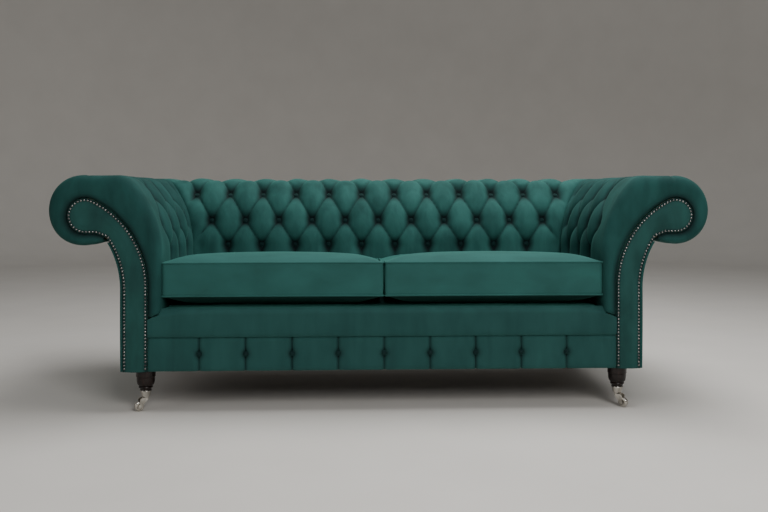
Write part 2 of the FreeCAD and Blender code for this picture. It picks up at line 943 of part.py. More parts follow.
def horn():
    """Castor horn: a bored top plate with two cheeks that reach down to the axle."""
    high = horn_top()
    low = high - horn_plate_thickness
    eye = Vector(wheel_trail, 0, wheel_radius)
    inner = wheel_width / 2 + side_gap
    outer = inner + horn_thickness
    front_tangent = around(eye, horn_eye_radius, 40)
    rear_tangent = around(eye, horn_eye_radius, 215)
    cheek_wire = outline(
        point(-horn_back * 0.6, low),
        point(-horn_back, high),
        point(wheel_trail * 0.55, high),
        (point(wheel_trail + horn_eye_radius * 0.35, (high + wheel_radius) / 2 + 5.0), front_tangent),
        (around(eye, horn_eye_radius, -50), rear_tangent),
    )
    cheek = Part.Face(cheek_wire)
    cheek.translate(Vector(0, -outer, 0))
    near = cheek.extrude(Vector(0, horn_thickness, 0))
    far = near.copy()
    far.translate(Vector(0, outer + inner, 0))
    plate = box(-horn_back, wheel_trail * 0.55, -outer, outer, low, high)
    body = near.fuse(far).fuse(plate)
    trim = Part.makeCylinder(outer, high - low, Vector(0, 0, low))
    nose = box(0, wheel_trail, -outer, outer, 0, high)
    body = body.common(trim.fuse(nose).fuse(box(-horn_back, 0, -outer, outer, 0, low)))
    body = body.cut(Part.makeCylinder(pintle_radius + running_gap, overall_height, Vector(0, 0, 0)))
    axle_hole = Part.makeCylinder(axle_radius, outer * 2 + 2, Vector(wheel_trail, -outer - 1, wheel_radius),
                                  DEPTHWARDS)
    return single(body.cut(axle_hole))


def wheel():
    half = wheel_width / 2
    hub = Vector(wheel_trail, -half, wheel_radius)
    disc = Part.makeCylinder(wheel_radius, wheel_width, hub, DEPTHWARDS)
    return disc.cut(Part.makeCylinder(axle_radius + running_gap, wheel_width, hub, DEPTHWARDS))


def axle():
    half = wheel_width / 2 + side_gap + horn_thickness
    pin = Part.makeCylinder(axle_radius, 2 * half, Vector(wheel_trail, -half, wheel_radius), DEPTHWARDS)
    head_radius = axle_radius + axle_head_step
    head = Part.makeCylinder(head_radius, axle_head_thickness,
                             Vector(wheel_trail, -half - axle_head_thickness, wheel_radius), DEPTHWARDS)
    tail = Part.makeCylinder(head_radius, axle_head_thickness, Vector(wheel_trail, half, wheel_radius), DEPTHWARDS)
    return single(pin.fuse(head).fuse(tail))


def headed(shape, x, y, heading):
    """A castor piece turned about the swivel axis to its heading and set under its leg."""
    placed = shape.copy()
    placed.rotate(Vector(0, 0, 0), UP, heading)
    placed.translate(Vector(x, y, 0))
    return placed


def build():
    nodes = {}
    nodes["front_rail"] = front_rail()
    nodes["rear_rail"] = back_rail(2, rail_reach)
    nodes["cross_rails"] = cross_rails()
    nodes["corner_blocks"] = corner_blocks()
    roll_rail_y = roll_reach - roll_rail_width / 2 - back_shift
    tack_rail_y = rail_reach - back_shift
    for name, side in SIDES.items():
        nodes[name + "_side_rail"] = to_side(arm_rail(2, rear_rail_y + rail_thickness), side)
        nodes[name + "_front_scroll_board"] = to_side(front_scroll_board(), side)
        nodes[name + "_rear_scroll_board"] = to_side(rear_scroll_board(), side)
        nodes[name + "_arm_roll_rail"] = to_side(arm_rail(1, roll_rail_y), side)
        nodes[name + "_arm_tack_rail"] = to_side(arm_rail(0, tack_rail_y), side)
        nodes[name + "_arm_webbing"] = to_side(group(upright_webbing_of_arm()), side)
        nodes[name + "_arm_pad"] = to_side(arm_pad(), side)
        nodes[name + "_arm_facing"] = to_side(arm_facing(), side)
        nodes[name + "_outer_arm_panel"] = to_side(outer_arm_panel(), side)
        nodes[name + "_arm_buttons"] = to_side(arm_buttons(), side)
        nodes[name + "_cushion_cover"] = to_side(cushion_cover(), side)
        nodes[name + "_cushion_core"] = to_side(cushion_core(), side)
    nodes["left_back_post"] = back_post(-post_spacing)
    nodes["centre_back_post"] = back_post(0.0)
    nodes["right_back_post"] = back_post(post_spacing)
    nodes["back_roll_rail"] = back_rail(1, roll_reach - 5.0)
    nodes["back_tack_rail"] = back_rail(0, rail_reach + rail_thickness)
    nodes["back_webbing"] = upright_webbing_of_back()
    nodes["seat_webbing_lengthwise"], nodes["seat_webbing_crosswise"] = seat_webbing()
    nodes["seat_deck"] = seat_deck()
    nodes["back_pad"] = back_pad()
    nodes["back_buttons"] = back_buttons()
    nodes["outer_back_panel"] = outer_back_panel()
    nodes["dust_cover"] = dust_cover()
    nodes["upper_front_border"] = upper_border()
    nodes["pleated_front_border"] = pleated_border()
    nodes["front_border_buttons"] = border_buttons()
    nodes["leg_plates"] = leg_plates()
    nodes["leg_bolts"] = leg_bolts()
    places = leg_places()
    front, rear = places[:2], places[2:]
    nodes["front_legs"] = group([front_leg(x, y) for x, y in front])
    nodes["rear_legs"] = group([rear_leg(x, y) for x, y in rear])
    nodes["castor_cups"] = group([castor_cup(x, y) for x, y in front])
    nodes["castor_pintles"] = group([pintle(x, y) for x, y in front])
    for name, heading, (x, y) in zip(SIDES, (left_castor_heading, right_castor_heading), front):
        nodes[name + "_castor_horn"] = headed(horn(), x, y, heading)
        nodes[name + "_castor_axle"] = headed(axle(), x, y, heading)
        nodes[name + "_castor_wheel"] = headed(wheel(), x, y, heading)
    return nodes


def write(nodes):
    os.makedirs("parts", exist_ok=True)
    for name, shape in nodes.items():
        shape.exportStep("parts/" + name + ".step")
        print(name, len(shape.Solids), "solids,", round(shape.Volume / 1000, 1), "cm3, valid", shape.isValid())


write(build())
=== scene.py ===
# %% [markdown]
# A low sofa with scroll arms, deep-buttoned velvet and two loose seat cushions.
# The imported model is loaded first and stays fixed: every cover that is made here lies on it.

# %% Load the frame
import json
import bpy
import bmesh
import numpy as np
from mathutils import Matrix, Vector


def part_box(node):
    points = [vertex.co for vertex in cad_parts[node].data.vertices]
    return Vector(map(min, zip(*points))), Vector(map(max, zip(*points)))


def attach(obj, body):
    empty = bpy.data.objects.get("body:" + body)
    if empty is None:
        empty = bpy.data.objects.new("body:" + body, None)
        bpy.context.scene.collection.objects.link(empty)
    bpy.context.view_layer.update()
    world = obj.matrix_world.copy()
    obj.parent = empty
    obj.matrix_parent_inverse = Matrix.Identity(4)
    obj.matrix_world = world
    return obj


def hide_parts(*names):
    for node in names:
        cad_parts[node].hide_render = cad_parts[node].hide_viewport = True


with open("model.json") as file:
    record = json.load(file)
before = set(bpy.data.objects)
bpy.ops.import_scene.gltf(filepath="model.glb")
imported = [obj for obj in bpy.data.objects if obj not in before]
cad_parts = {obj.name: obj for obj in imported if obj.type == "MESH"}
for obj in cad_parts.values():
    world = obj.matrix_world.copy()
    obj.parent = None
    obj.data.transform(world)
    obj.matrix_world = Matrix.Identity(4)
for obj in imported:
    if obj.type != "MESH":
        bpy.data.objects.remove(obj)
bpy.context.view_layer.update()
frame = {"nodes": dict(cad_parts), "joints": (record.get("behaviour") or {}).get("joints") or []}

# %% [markdown]
# The arms and the back of such a sofa share one section: an upright pad, a lean outwards and a fat roll.
# "Reach" is the distance outwards from the middle of the seat. The back has the same section, turned by a
# right angle and shifted, so that arm and back meet in a slanting seam, a mitre, as in a picture frame.

# %% Sizes that the covers share
pad_low, pad_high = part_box("right_arm_pad")
facing_low, facing_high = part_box("right_arm_facing")
back_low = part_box("back_pad")[0]
leg_top = facing_low.z
pad_face = pad_low.x
half_width = pad_high.x
top_height = pad_high.z
pad_front = pad_low.y
back_shift = pad_face - back_low.y
roll_radius = 0.106
roll_centre = (half_width - roll_radius, top_height - roll_radius)
shoulder_radius = 0.060
shoulder_centre = (roll_centre[0] - 0.098, top_height - shoulder_radius)
pad_spring = top_height - 0.251
board_face = pad_face + 0.038
board_spring = top_height - 0.351
scroll_radius = 0.056
scroll_centre = (roll_centre[0], roll_centre[1] - 0.018)
neck_face = roll_centre[0] - 0.118
neck_spring = top_height - 0.360
neck_radius = 0.300
underside = roll_centre[1] - 0.102
corner_reach = roll_centre[0] - 0.070
corner_y = corner_reach - back_shift
foot_ease = 0.0035
foot_turn = 0.019
foot_height = 0.052
print("pad face", round(pad_face, 4), "back shift", round(back_shift, 4), "leg top", round(leg_top, 4))

# %% [markdown]
# A section is drawn as points along straight runs and arcs, then divided again at even steps, because
# an even grid gives even folds. The lean is an arc that leaves the upright face and meets the circle of
# the roll in a tangent; its radius follows from that condition.

# %% Drawing sections
def arc(centre, radius, start, end, count=240):
    """Points at centre + radius * (cos a, sin a), for angles a in degrees from start to end."""
    angle = np.radians(np.linspace(start, end, count))
    return np.column_stack([centre[0] + radius * np.cos(angle), centre[1] + radius * np.sin(angle)])


def run(*corners):
    """Points along straight lines from corner to corner."""
    corners = np.array(corners, float)
    return np.concatenate([np.linspace(a, b, 24) for a, b in zip(corners, corners[1:])])


def travelled(points):
    """Distance along a broken line from its first point to each of its points."""
    return np.concatenate([[0], np.cumsum(np.linalg.norm(np.diff(points, axis=0), axis=1))])


def evenly(points, count):
    """The same line at count even steps."""
    along = travelled(points)
    steps = np.linspace(0, along[-1], count)
    return np.column_stack([np.interp(steps, along, column) for column in points.T])


def lean(face, spring, centre, radius):
    """The arc with (R - across)^2 + rise^2 = (R - r)^2 about (face + R, spring), up to the circle."""
    across, rise = centre[0] - face, centre[1] - spring
    size = (across ** 2 + rise ** 2 - radius ** 2) / (2 * (across - radius))
    middle = (face + size, spring)
    end = np.degrees(np.arctan2(rise, centre[0] - middle[0]))
    return middle, size, end


def neck_at(height, grow=0.0):
    """Reach of the board's outer neck at a height: an arc above its spring, upright below it."""
    rise = np.maximum(np.asarray(height) - neck_spring, 0)
    return neck_face + neck_radius - np.sqrt((neck_radius - grow) ** 2 - rise ** 2)


notch = (roll_centre[0] - roll_radius / 2, underside)
tuck = (board_face - 0.0076, pad_low.z)
lean_middle, lean_size, lean_end = lean(pad_face, pad_spring, shoulder_centre, shoulder_radius)
pad_line = np.concatenate([
    run(tuck, (pad_face + foot_ease, pad_low.z + foot_turn), (pad_face, pad_low.z + foot_height),
        (pad_face, pad_spring)),
    arc(lean_middle, lean_size, 180, lean_end),
    arc(shoulder_centre, shoulder_radius, lean_end, 90),
    arc(roll_centre, roll_radius, 90, -90, 400),
    run((roll_centre[0], roll_centre[1] - roll_radius), notch),
])
board_middle, board_size, board_end = lean(board_face, board_spring, scroll_centre, scroll_radius)
throat_height = underside + 0.005
throat = (float(neck_at(throat_height)), throat_height)
throat_turn = (throat[0] + 0.006, throat[1] + 0.010)
scroll_low = scroll_centre[1] - scroll_radius
fold_reach = scroll_centre[0] - 0.6 * scroll_radius
print("section length", round(travelled(pad_line)[-1], 3), "lean ends at", round(float(lean_end), 1))

# %% [markdown]
# Meshes are grids of points: one array holds a whole surface. A helper lists the four corners of every
# cell, and another writes points and faces into a mesh at once, welds what lies together, such as the
# points of a pole, and turns all faces outwards.

# %% From grids to meshes
def cells(rows, columns, around_rows=False, around_columns=False, first=0):
    """Corner numbers of each cell of a grid; a grid that closes on itself also joins last to first."""
    r = np.arange(rows if around_rows else rows - 1)
    c = np.arange(columns if around_columns else columns - 1)
    r, c = np.meshgrid(r, c, indexing="ij")
    r_next, c_next = (r + 1) % rows, (c + 1) % columns
    corners = [r * columns + c, r_next * columns + c, r_next * columns + c_next, r * columns + c_next]
    return np.stack(corners, -1).reshape(-1, 4) + first


def make(name, points, faces, extra=(), weld=2e-5, sharp=None, painted_shade=None):
    """Mesh object from an array of points, an array of faces and a few faces of other sizes.

    The last argument gives each of the first points an amount of painted shade, from 0 to 1, deepest in
    pleats and dimples."""
    points = np.asarray(points, np.float32).reshape(-1, 3)
    sizes = np.concatenate([np.full(len(faces), faces.shape[1]), [len(face) for face in extra]])
    sizes = sizes.astype(np.int32)
    corners = np.concatenate([faces.ravel(), *[np.asarray(face) for face in extra]]).astype(np.int32)
    mesh = bpy.data.meshes.new(name)
    mesh.vertices.add(len(points))
    mesh.vertices.foreach_set("co", points.ravel())
    mesh.loops.add(len(corners))
    mesh.loops.foreach_set("vertex_index", corners)
    mesh.polygons.add(len(sizes))
    mesh.polygons.foreach_set("loop_start", np.concatenate([[0], np.cumsum(sizes)[:-1]]).astype(np.int32))
    mesh.update(calc_edges=True)
    # Painted shade: the amounts are stored on the points, and the velvet darkens its colour by them.
    if painted_shade is not None:
        shade_amount = np.zeros(len(points), np.float32)
        shade_amount[:painted_shade.size] = painted_shade.ravel()
        mesh.attributes.new("painted_shade", "FLOAT", "POINT").data.foreach_set("value", shade_amount)
    work = bmesh.new()
    work.from_mesh(mesh)
    bmesh.ops.remove_doubles(work, verts=work.verts, dist=weld)
    bmesh.ops.recalc_face_normals(work, faces=work.faces)
    work.to_mesh(mesh)
    work.free()
    mesh.shade_smooth()
    if sharp is not None:
        mesh.set_sharp_from_angle(angle=np.radians(sharp))
    item = bpy.data.objects.new(name, mesh)
    bpy.context.scene.collection.objects.link(item)
    return item


def finish_piece(item, body, slot, material, *nodes):
    """A piece gets its body, its finish and the nodes that it stands for, which are hidden; slot is not used.
    """
    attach(item, body)
    item.data.materials.clear()
    item.data.materials.append(material)
    if nodes:
        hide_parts(*nodes)
    return item


def shell(outer, inner_first, inner_last):
    """Closed shell: a grid, a plain inner wall between two lines, and strips that join their edges.

    The inner wall is straight along the columns, so it needs only its first and last line."""
    rows, columns, _ = outer.shape
    count = rows * columns
    points = np.concatenate([outer.reshape(-1, 3), inner_first, inner_last])
    first, last = count + np.arange(rows), count + rows + np.arange(rows)
    start, end = np.arange(rows) * columns, np.arange(rows) * columns + columns - 1

    def strip(a, b):
        return np.stack([a[:-1], a[1:], b[1:], b[:-1]], -1)

    faces = np.concatenate([cells(rows, columns), strip(first, last), strip(start, first), strip(end, last)])
    bottom = [*range(columns), last[0], first[0]]
    top = [*range(count - columns, count), last[-1], first[-1]]
    return points, faces, (bottom, top)


# %% [markdown]
# Shader maths reads best as plain expressions, so one small class wraps a socket and adds a Math node for
# each operation. A second one builds a material: it adds a node of a type, sets its settings first and
# then links or fills its sockets.

# %% Shader sockets as numbers
class Level:
    """A number that comes out of a node, with the operations that the finishes use."""

    def __init__(self, paint, socket):
        self.paint, self.socket = paint, socket

    def _with(self, operation, a, b):
        return self.paint.level("ShaderNodeMath", {"operation": operation}, {0: a, 1: b})

    def __add__(self, other):
        return self._with("ADD", self, other)

    def __radd__(self, other):
        return self._with("ADD", other, self)

    def __sub__(self, other):
        return self._with("SUBTRACT", self, other)

    def __rsub__(self, other):
        return self._with("SUBTRACT", other, self)

    def __mul__(self, other):
        return self._with("MULTIPLY", self, other)

    def __rmul__(self, other):
        return self._with("MULTIPLY", other, self)

    def power(self, exponent):
        return self._with("POWER", self, exponent)

    def clamped(self):
        return self.paint.level("ShaderNodeClamp", {}, {"Value": self})


class Paint:
    """A material's node tree with its Principled shader."""

    def __init__(self, name, **constants):
        self.material = bpy.data.materials.new(name)
        self.material.use_nodes = True
        self.tree = self.material.node_tree
        self.shader = self.tree.nodes["Principled BSDF"]
        for socket, value in constants.items():
            self.shader.inputs[socket.replace("_", " ")].default_value = value
        self.place = self.node("ShaderNodeTexCoord").outputs["Object"]

    def node(self, kind, settings=None, sockets=None):
        """Adds a node, sets its settings, then fills or links its sockets."""
        made = self.tree.nodes.new(kind)
        for setting, value in (settings or {}).items():
            setattr(made, setting, value)
        for socket, value in (sockets or {}).items():
            self.feed(made.inputs[socket], value)
        return made

    def feed(self, socket, value):
        """Links a socket to a level or an output, or sets its value."""
        if isinstance(value, Level):
            self.tree.links.new(value.socket, socket)
        elif isinstance(value, bpy.types.NodeSocket):
            self.tree.links.new(value, socket)
        else:
            socket.default_value = value

    def level(self, kind, settings, sockets, output=0):
        return Level(self, self.node(kind, settings, sockets).outputs[output])

    def stretched(self, scale, turn=(0, 0, 0)):
        """The object's own place, scaled and turned, for patterns."""
        return self.node("ShaderNodeMapping", {}, {"Vector": self.place, "Scale": scale,
                                                   "Rotation": turn}).outputs[0]

    def noise(self, scale, place=None, detail=3.0, roughness=0.5, warp=0.0):
        sockets = {"Vector": place or self.place, "Scale": scale, "Detail": detail,
                   "Roughness": roughness, "Distortion": warp}
        return self.level("ShaderNodeTexNoise", {}, sockets)

    def wave(self, scale, place, warp=0.0, direction="X"):
        sockets = {"Vector": place, "Scale": scale, "Distortion": warp, "Detail": 2.0}
        return self.level("ShaderNodeTexWave", {"bands_direction": direction}, sockets, "Fac")

    def stored(self, name):
        """A number that the mesh carries at each point, and 0 where it carries none."""
        return self.level("ShaderNodeAttribute", {"attribute_name": name}, {}, "Fac")

    def between(self, low, high, level):
        """Level turned from the range low to high into 0 to 1."""
        return self.level("ShaderNodeMapRange", {"clamp": True},
                          {"Value": level, "From Min": low, "From Max": high})

    def mixed(self, factor, first, second, blend="MIX"):
        """Colour between two colours."""
        mix = self.node("ShaderNodeMix", {"data_type": "RGBA", "blend_type": blend})
        self.feed(mix.inputs["Factor"], factor)
        self.feed(mix.inputs[6], first)
        self.feed(mix.inputs[7], second)
        return mix.outputs[2]

    def bump(self, height, strength, distance, under=None):
        sockets = {"Height": height, "Strength": strength, "Distance": distance}
        if under is not None:
            sockets["Normal"] = under
        return self.node("ShaderNodeBump", {}, sockets).outputs[0]

    def wear(self, **outputs):
        """Links what varies over the surface to the shader."""
        for socket, value in outputs.items():
            self.feed(self.shader.inputs[socket.replace("_", " ")], value)
        return self.material


def colour(red, green, blue):
    """Linear colour from 0 to 255 as a screen shows it."""
    shown = np.array([red, green, blue]) / 255
    linear = np.where(shown <= 0.04045, shown / 12.92, ((shown + 0.055) / 1.055) ** 2.4)
    return (*linear.tolist(), 1.0)


# %% [markdown]
# Velvet is a dense upright pile. Seen straight on it is dark, because light falls between the fibres;
# seen at a slant the fibre tips catch the light, which the shader's sheen gives. Where the pile has been
# stroked it lies another way and looks lighter or darker, in soft streaks that run down the cloth. So the
# colour follows long noise streaks, with a fine grain for the fibres, and bump gives the pile its tooth.
# Down in a pleat hardly any light comes back, so a number stored in the mesh paints that shade into the
# colour.

# %% Velvet
def velvet(name, deep, light, sheen=0.32, streak=(5.0, 5.0, 1.6), grain=700.0):
    """Pile cloth: a deep and a light colour mixed by brushed streaks and grain, with painted shade in its
    folds.
    """
    paint = Paint(name, Roughness=0.86, Specular_IOR_Level=0.20, Sheen_Weight=sheen, Sheen_Roughness=0.45,
                  Sheen_Tint=colour(96, 190, 172))
    streaks = paint.noise(3.2, paint.stretched(streak), detail=4.0, roughness=0.55, warp=0.35)
    clouds = paint.noise(9.0, detail=2.0)
    fibres = paint.noise(grain, detail=1.0, roughness=0.7)
    brushed = paint.between(0.25, 0.78, 0.65 * streaks + 0.35 * clouds)
    tone = (brushed + 0.22 * (fibres - 0.5)).clamped()
    tooth = paint.bump(fibres, 0.16, 0.0008)
    nap = paint.bump(streaks, 0.25, 0.004, tooth)
    brushed_colour = paint.mixed(tone, deep, light)
    # Painted shade: the stored number mixes the colour towards a near-black green in pleats, dimples and
    # creases.
    painted_shade_colour = paint.mixed(paint.stored("painted_shade"), brushed_colour, colour(2, 17, 19))
    return paint.wear(Base_Color=painted_shade_colour, Roughness=0.80 + 0.14 * fibres, Normal=nap)


pad_velvet = velvet("back velvet", colour(20, 58, 55), colour(52, 104, 98))
# The arms' velvet is the back's cloth painted darker: painted shade for the arms' inner faces.
shaded_arm_velvet = velvet("arm velvet with painted shade", colour(11, 45, 43), colour(36, 82, 78), sheen=0.12)
seat_velvet = velvet("seat velvet", colour(36, 76, 72), colour(46, 96, 91), streak=(2.0, 5.0, 4.0))
band_velvet = velvet("border velvet", colour(26, 60, 58), colour(40, 82, 78), streak=(5.0, 5.0, 1.2))
face_velvet = velvet("facing velvet", colour(20, 50, 48), colour(40, 84, 79), streak=(4.0, 4.0, 1.6))
wall_velvet = velvet("outer velvet", colour(20, 56, 54), colour(36, 84, 79), streak=(3.0, 3.0, 0.8))
# The buttons' velvet is painted near black: painted shade for the bottom of each dimple.
button_velvet = velvet("button velvet with painted shade", colour(4, 24, 25), colour(12, 42, 41), streak=(12.0, 12.0, 12.0))
print("velvets", [m.name for m in bpy.data.materials if "velvet" in m.name])

# %% [markdown]
# The legs are stained nearly black and polished: a thin clear coat over a wood whose grain hardly shows.
# Castors are nickel plated; the plate dulls where hands and dust reach it. Nail heads are darkened nickel
# with bright tops.

# %% Wood, metal and the hidden materials
def polished_wood():
    """Fine upright grain, dark in the pores, under a clear polish."""
    paint = Paint("polished dark wood", Specular_IOR_Level=0.2, Coat_Weight=0.30, Coat_Roughness=0.08)
    grain = paint.noise(16.0, paint.stretched((9.0, 9.0, 0.9)), detail=6.0, roughness=0.6, warp=0.8)
    pores = paint.noise(260.0, paint.stretched((1.0, 1.0, 0.08)), detail=2.0)
    tone = paint.between(0.35, 0.70, grain)
    shade = paint.mixed(tone, colour(7, 4, 3), colour(30, 14, 9))
    return paint.wear(Base_Color=shade, Roughness=0.26 + 0.18 * pores, Normal=paint.bump(pores, 0.10, 0.0004))


def plated(name, bright, dull, rough=0.14, mark=40.0):
    """Plated metal: bright where it is rubbed, duller in cloudy patches."""
    paint = Paint(name, Metallic=1.0)
    patches = paint.between(0.38, 0.68, paint.noise(mark, detail=4.0))
    scratches = paint.noise(420.0, paint.stretched((1.0, 1.0, 8.0)), detail=2.0)
    shade = paint.mixed(patches, bright, dull)
    return paint.wear(Base_Color=shade, Roughness=rough + 0.22 * patches * scratches,
                      Normal=paint.bump(scratches, 0.05, 0.0002))


def sawn_timber():
    """Sawn hardwood: rings as warped bands, saw marks across them."""
    paint = Paint("frame timber", Specular_IOR_Level=0.3)
    rings = paint.wave(6.0, paint.stretched((1.0, 4.0, 4.0)), warp=5.0, direction="Z")
    fibre = paint.noise(90.0, paint.stretched((0.6, 3.0, 3.0)), detail=5.0)
    saw = paint.wave(140.0, paint.place, warp=0.6)
    shade = paint.mixed((0.55 * rings + 0.45 * fibre).clamped(), colour(150, 112, 72), colour(202, 166, 118))
    return paint.wear(Base_Color=shade, Roughness=0.62 + 0.2 * fibre, Normal=paint.bump(saw, 0.2, 0.0006))


def woven(name, dark, pale, pitch, strength=0.6, rough=0.85):
    """Plain weave: two crossing waves, each thread over and under the next."""
    paint = Paint(name, Roughness=rough, Specular_IOR_Level=0.2, Sheen_Weight=0.15)
    warp = paint.wave(pitch, paint.place, direction="X")
    weft = paint.wave(pitch, paint.place, direction="Y")
    rise = paint.wave(pitch, paint.place, direction="Z")
    threads = (warp + weft + rise) * 0.33
    worn = paint.noise(7.0, detail=4.0)
    shade = paint.mixed((0.6 * threads + 0.4 * worn).clamped(), dark, pale)
    raised = paint.bump(threads, strength, 0.001)
    return paint.wear(Base_Color=shade, Roughness=rough + 0.1 * worn, Normal=raised)


def painted_steel():
    """Black painted plate with rubbed, paler spots."""
    paint = Paint("plate steel", Metallic=0.4, Specular_IOR_Level=0.4)
    rubbed = paint.between(0.55, 0.75, paint.noise(60.0, detail=5.0))
    shade = paint.mixed(rubbed, colour(24, 24, 26), colour(88, 86, 84))
    return paint.wear(Base_Color=shade, Roughness=0.55 - 0.2 * rubbed, Normal=paint.bump(rubbed, 0.1, 0.0003))


leg_wood = polished_wood()
nickel = plated("castor nickel", colour(214, 210, 202), colour(150, 146, 138), rough=0.12)
nail_metal = plated("nail heads", colour(156, 154, 152), colour(66, 64, 66), rough=0.22, mark=180.0)
timber = sawn_timber()
jute = woven("jute webbing", colour(96, 74, 44), colour(168, 138, 92), 120.0)
lining = woven("dust cloth", colour(12, 12, 13), colour(34, 34, 36), 300.0, strength=0.3)
foam_wrap = woven("foam and wadding", colour(196, 184, 150), colour(226, 218, 190), 60.0, strength=0.2)
plate_paint = painted_steel()
bolt_zinc = plated("zinc bolts", colour(186, 190, 194), colour(120, 124, 128), rough=0.3)
print("materials", len(bpy.data.materials))

# %% [markdown]
# Deep buttoning holds the cover down at buttons that stand in staggered rows. Between two neighbours in
# the next row the cloth folds into a pleat, so the pleats run slanting and cut the pad into diamonds.
# Each diamond swells like a small pillow. With one count along a row and one from row to row, the slanting
# counts "first" and "second" are whole numbers on the pleats, and both are whole at a button.

# %% Buttoned surface
pleat_depth = 0.017
dimple_depth = 0.014
dimple_radius = 0.027
pillow_rise = 0.006
wall_depth = 0.036
second_row = 0.097
third_row = 0.201
row_points = np.array([
    (pad_face, pad_spring - 0.001),
    (lean_middle[0] - np.sqrt(lean_size ** 2 - second_row ** 2), pad_spring + second_row),
    (lean_middle[0] - np.sqrt(lean_size ** 2 - third_row ** 2), pad_spring + third_row),
    (roll_centre[0] - 0.050, top_height),
])
section_steps = 236
fold_shade_start = 0.28
fold_shade_span = 0.45
mitre_depth = 0.010
mitre_width = 0.012
section = evenly(pad_line, section_steps)
section_along = travelled(section)
row_along = np.array([section_along[np.argmin(np.linalg.norm(section - p, axis=1))] for p in row_points])
row_gap = np.diff(row_along).mean()
slope = np.gradient(section, axis=0)
slope /= np.linalg.norm(slope, axis=1)[:, None]
section_out = np.column_stack([-slope[:, 1], slope[:, 0]])
row_level = np.interp(section_along, row_along, np.arange(4.0))
row_level += np.minimum(section_along - row_along[0], 0) / row_gap
row_level += np.maximum(section_along - row_along[3], 0) / row_gap
print("rows at", row_along.round(3), "of", round(section_along[-1], 3), "gap", round(row_gap, 4))

# %% [markdown]
# How far a cover is drawn in at a place depends on the two slanting counts alone. A pillow is the product
# of two round rises, one for each count, so it falls to nothing on every pleat; a dimple is a bell shape
# about the nearest button. The same functions serve the arms and the back.

# %% Pleats, dimples and pillows
def swell(count):
    """Round rise between whole numbers: nothing on them, most half-way."""
    return 1 - np.abs(2 * (count - np.floor(count)) - 1) ** 2.0


def buttoned(across, level, pitch, last=np.inf):
    """Depth of the pleats, where a slanting count is whole, and of the dimples, from 0 to 1 each."""
    held = np.clip(level, 0, 3)
    first, second = across + held / 2, across - held / 2
    pillow = (swell(first) * swell(second)) ** 0.5
    button_level = np.round(first) - np.round(second)
    button_across = (np.round(first) + np.round(second)) / 2
    distance = np.hypot((across - button_across) * pitch, (level - button_level) * row_gap)
    on_row = (button_level >= 0) & (button_level <= 3) & (button_across <= last)
    return 1 - pillow, np.exp(-(distance / dimple_radius) ** 1.6) * on_row


def smooth(low, high, value):
    """0 below low, 1 above high, and a soft S between them."""
    share = np.clip((value - low) / (high - low), 0, 1)
    return share * share * (3 - 2 * share)


def uneven(a, b, size=0.0008):
    """Small fixed unevenness, a sum of long crossing waves, so that no two pillows are quite alike."""
    crossing = np.sin(17 * a + 1.3) * np.sin(2.6 * b + 0.7)
    return size * (crossing + np.sin(9 * a - 3.4 * b) + 0.6 * np.sin(29 * a + b))


def painted_fold_shade(drawn):
    """Painted shade: 0 on the pillows, 1 at the bottom of a dimple, from how far the cover is drawn in."""
    return np.clip((drawn / (pleat_depth + dimple_depth) - fold_shade_start) / fold_shade_span, 0, 1)


def mitre_crease(gap):
    """Depth of the valley where arm and back meet, from the distance to the seam."""
    upper = 1 - smooth(corner_reach - 0.05, corner_reach - 0.005, section[:, 0])[:, None]
    return mitre_depth * np.exp(-gap / mitre_width) * upper


seam_fade = 0.045
foot_fade = smooth(0.0, 0.05, section_along)[:, None]
over_roll = 1 - 0.75 * smooth(row_along[3], row_along[3] + 0.22, section_along)[:, None]
first_fade = smooth(0.0, 0.03, section_along)[:, None]
last_fade = smooth(0.0, 0.03, section_along[-1] - section_along)[:, None]


def covered(along, level, drawn, gap, extra=0.0):
    """Reach and height of a cover over the section, and how much painted shade its folds get.

    It stands proud by a pillow's rise and what is extra, less the pleats and the valley at the mitre."""
    fade = smooth(0.0, seam_fade, gap) * foot_fade
    held = drawn * fade * over_roll
    rise = pillow_rise + uneven(along, level) * fade - held - mitre_crease(gap) + extra
    rise = rise * first_fade * last_fade
    reach = section[:, :1] + section_out[:, :1] * rise
    height = section[:, 1:] + section_out[:, 1:] * rise
    return reach, height, painted_fold_shade(held)


# %% [markdown]
# The cover of an arm starts at the nailed edge of the scroll board. That edge is drawn once more here, from
# the foot of its inside over the scroll to the foot of its outside, so that each line of the section can
# look for its nearest point on it.

# %% Edge of the scroll board
def board_edge(grow=0.0005):
    """Outline of the scroll board, from the foot of its inside over the scroll to the foot of its outside."""
    low = scroll_low - grow
    heights = np.linspace(throat[1], neck_spring, 40)
    return np.concatenate([
        run((board_face - grow, leg_top), (board_face - grow, board_spring)),
        arc(board_middle, board_size + grow, 180, board_end, 90),
        arc(scroll_centre, scroll_radius + grow, board_end, -90, 90),
        run((scroll_centre[0], low), (fold_reach, low), (throat_turn[0], throat_turn[1] - grow), throat),
        np.column_stack([neck_at(heights, grow), heights]),
        run((neck_face + grow, neck_spring), (neck_face + grow, leg_top)),
    ])


def nearest(points, line):
    """For each point the closest point of a line."""
    gaps = np.linalg.norm(points[:, None] - line[None], axis=2)
    return line[np.argmin(gaps, axis=1)]


print("board edge", round(travelled(board_edge())[-1], 3), "long")

# %% [markdown]
# From the board's edge an arm's cover swells out and round the front edge of the pad, runs back over the
# buttoned part and ends in the mitre seam. The frontmost stretch has no buttons. Next to the nails a dark
# crevice is painted shade in the colour, and a short dart takes up the fullness on top of the roll.

# %% Arm padding
arm_pitch = 0.140
arm_tufts = 4
arm_rear_button = back_low.y - 0.037
lip_depth = 0.022
lip_bulge = 0.015
lip_steps = 14
crevice_shade_width = 0.011
arm_steps = 170
plain_fade = 0.024
dart_width = 0.005
dart_place = roll_centre[0] - 0.007
dart_row = np.argmin(np.linalg.norm(section - (dart_place, top_height), axis=1))


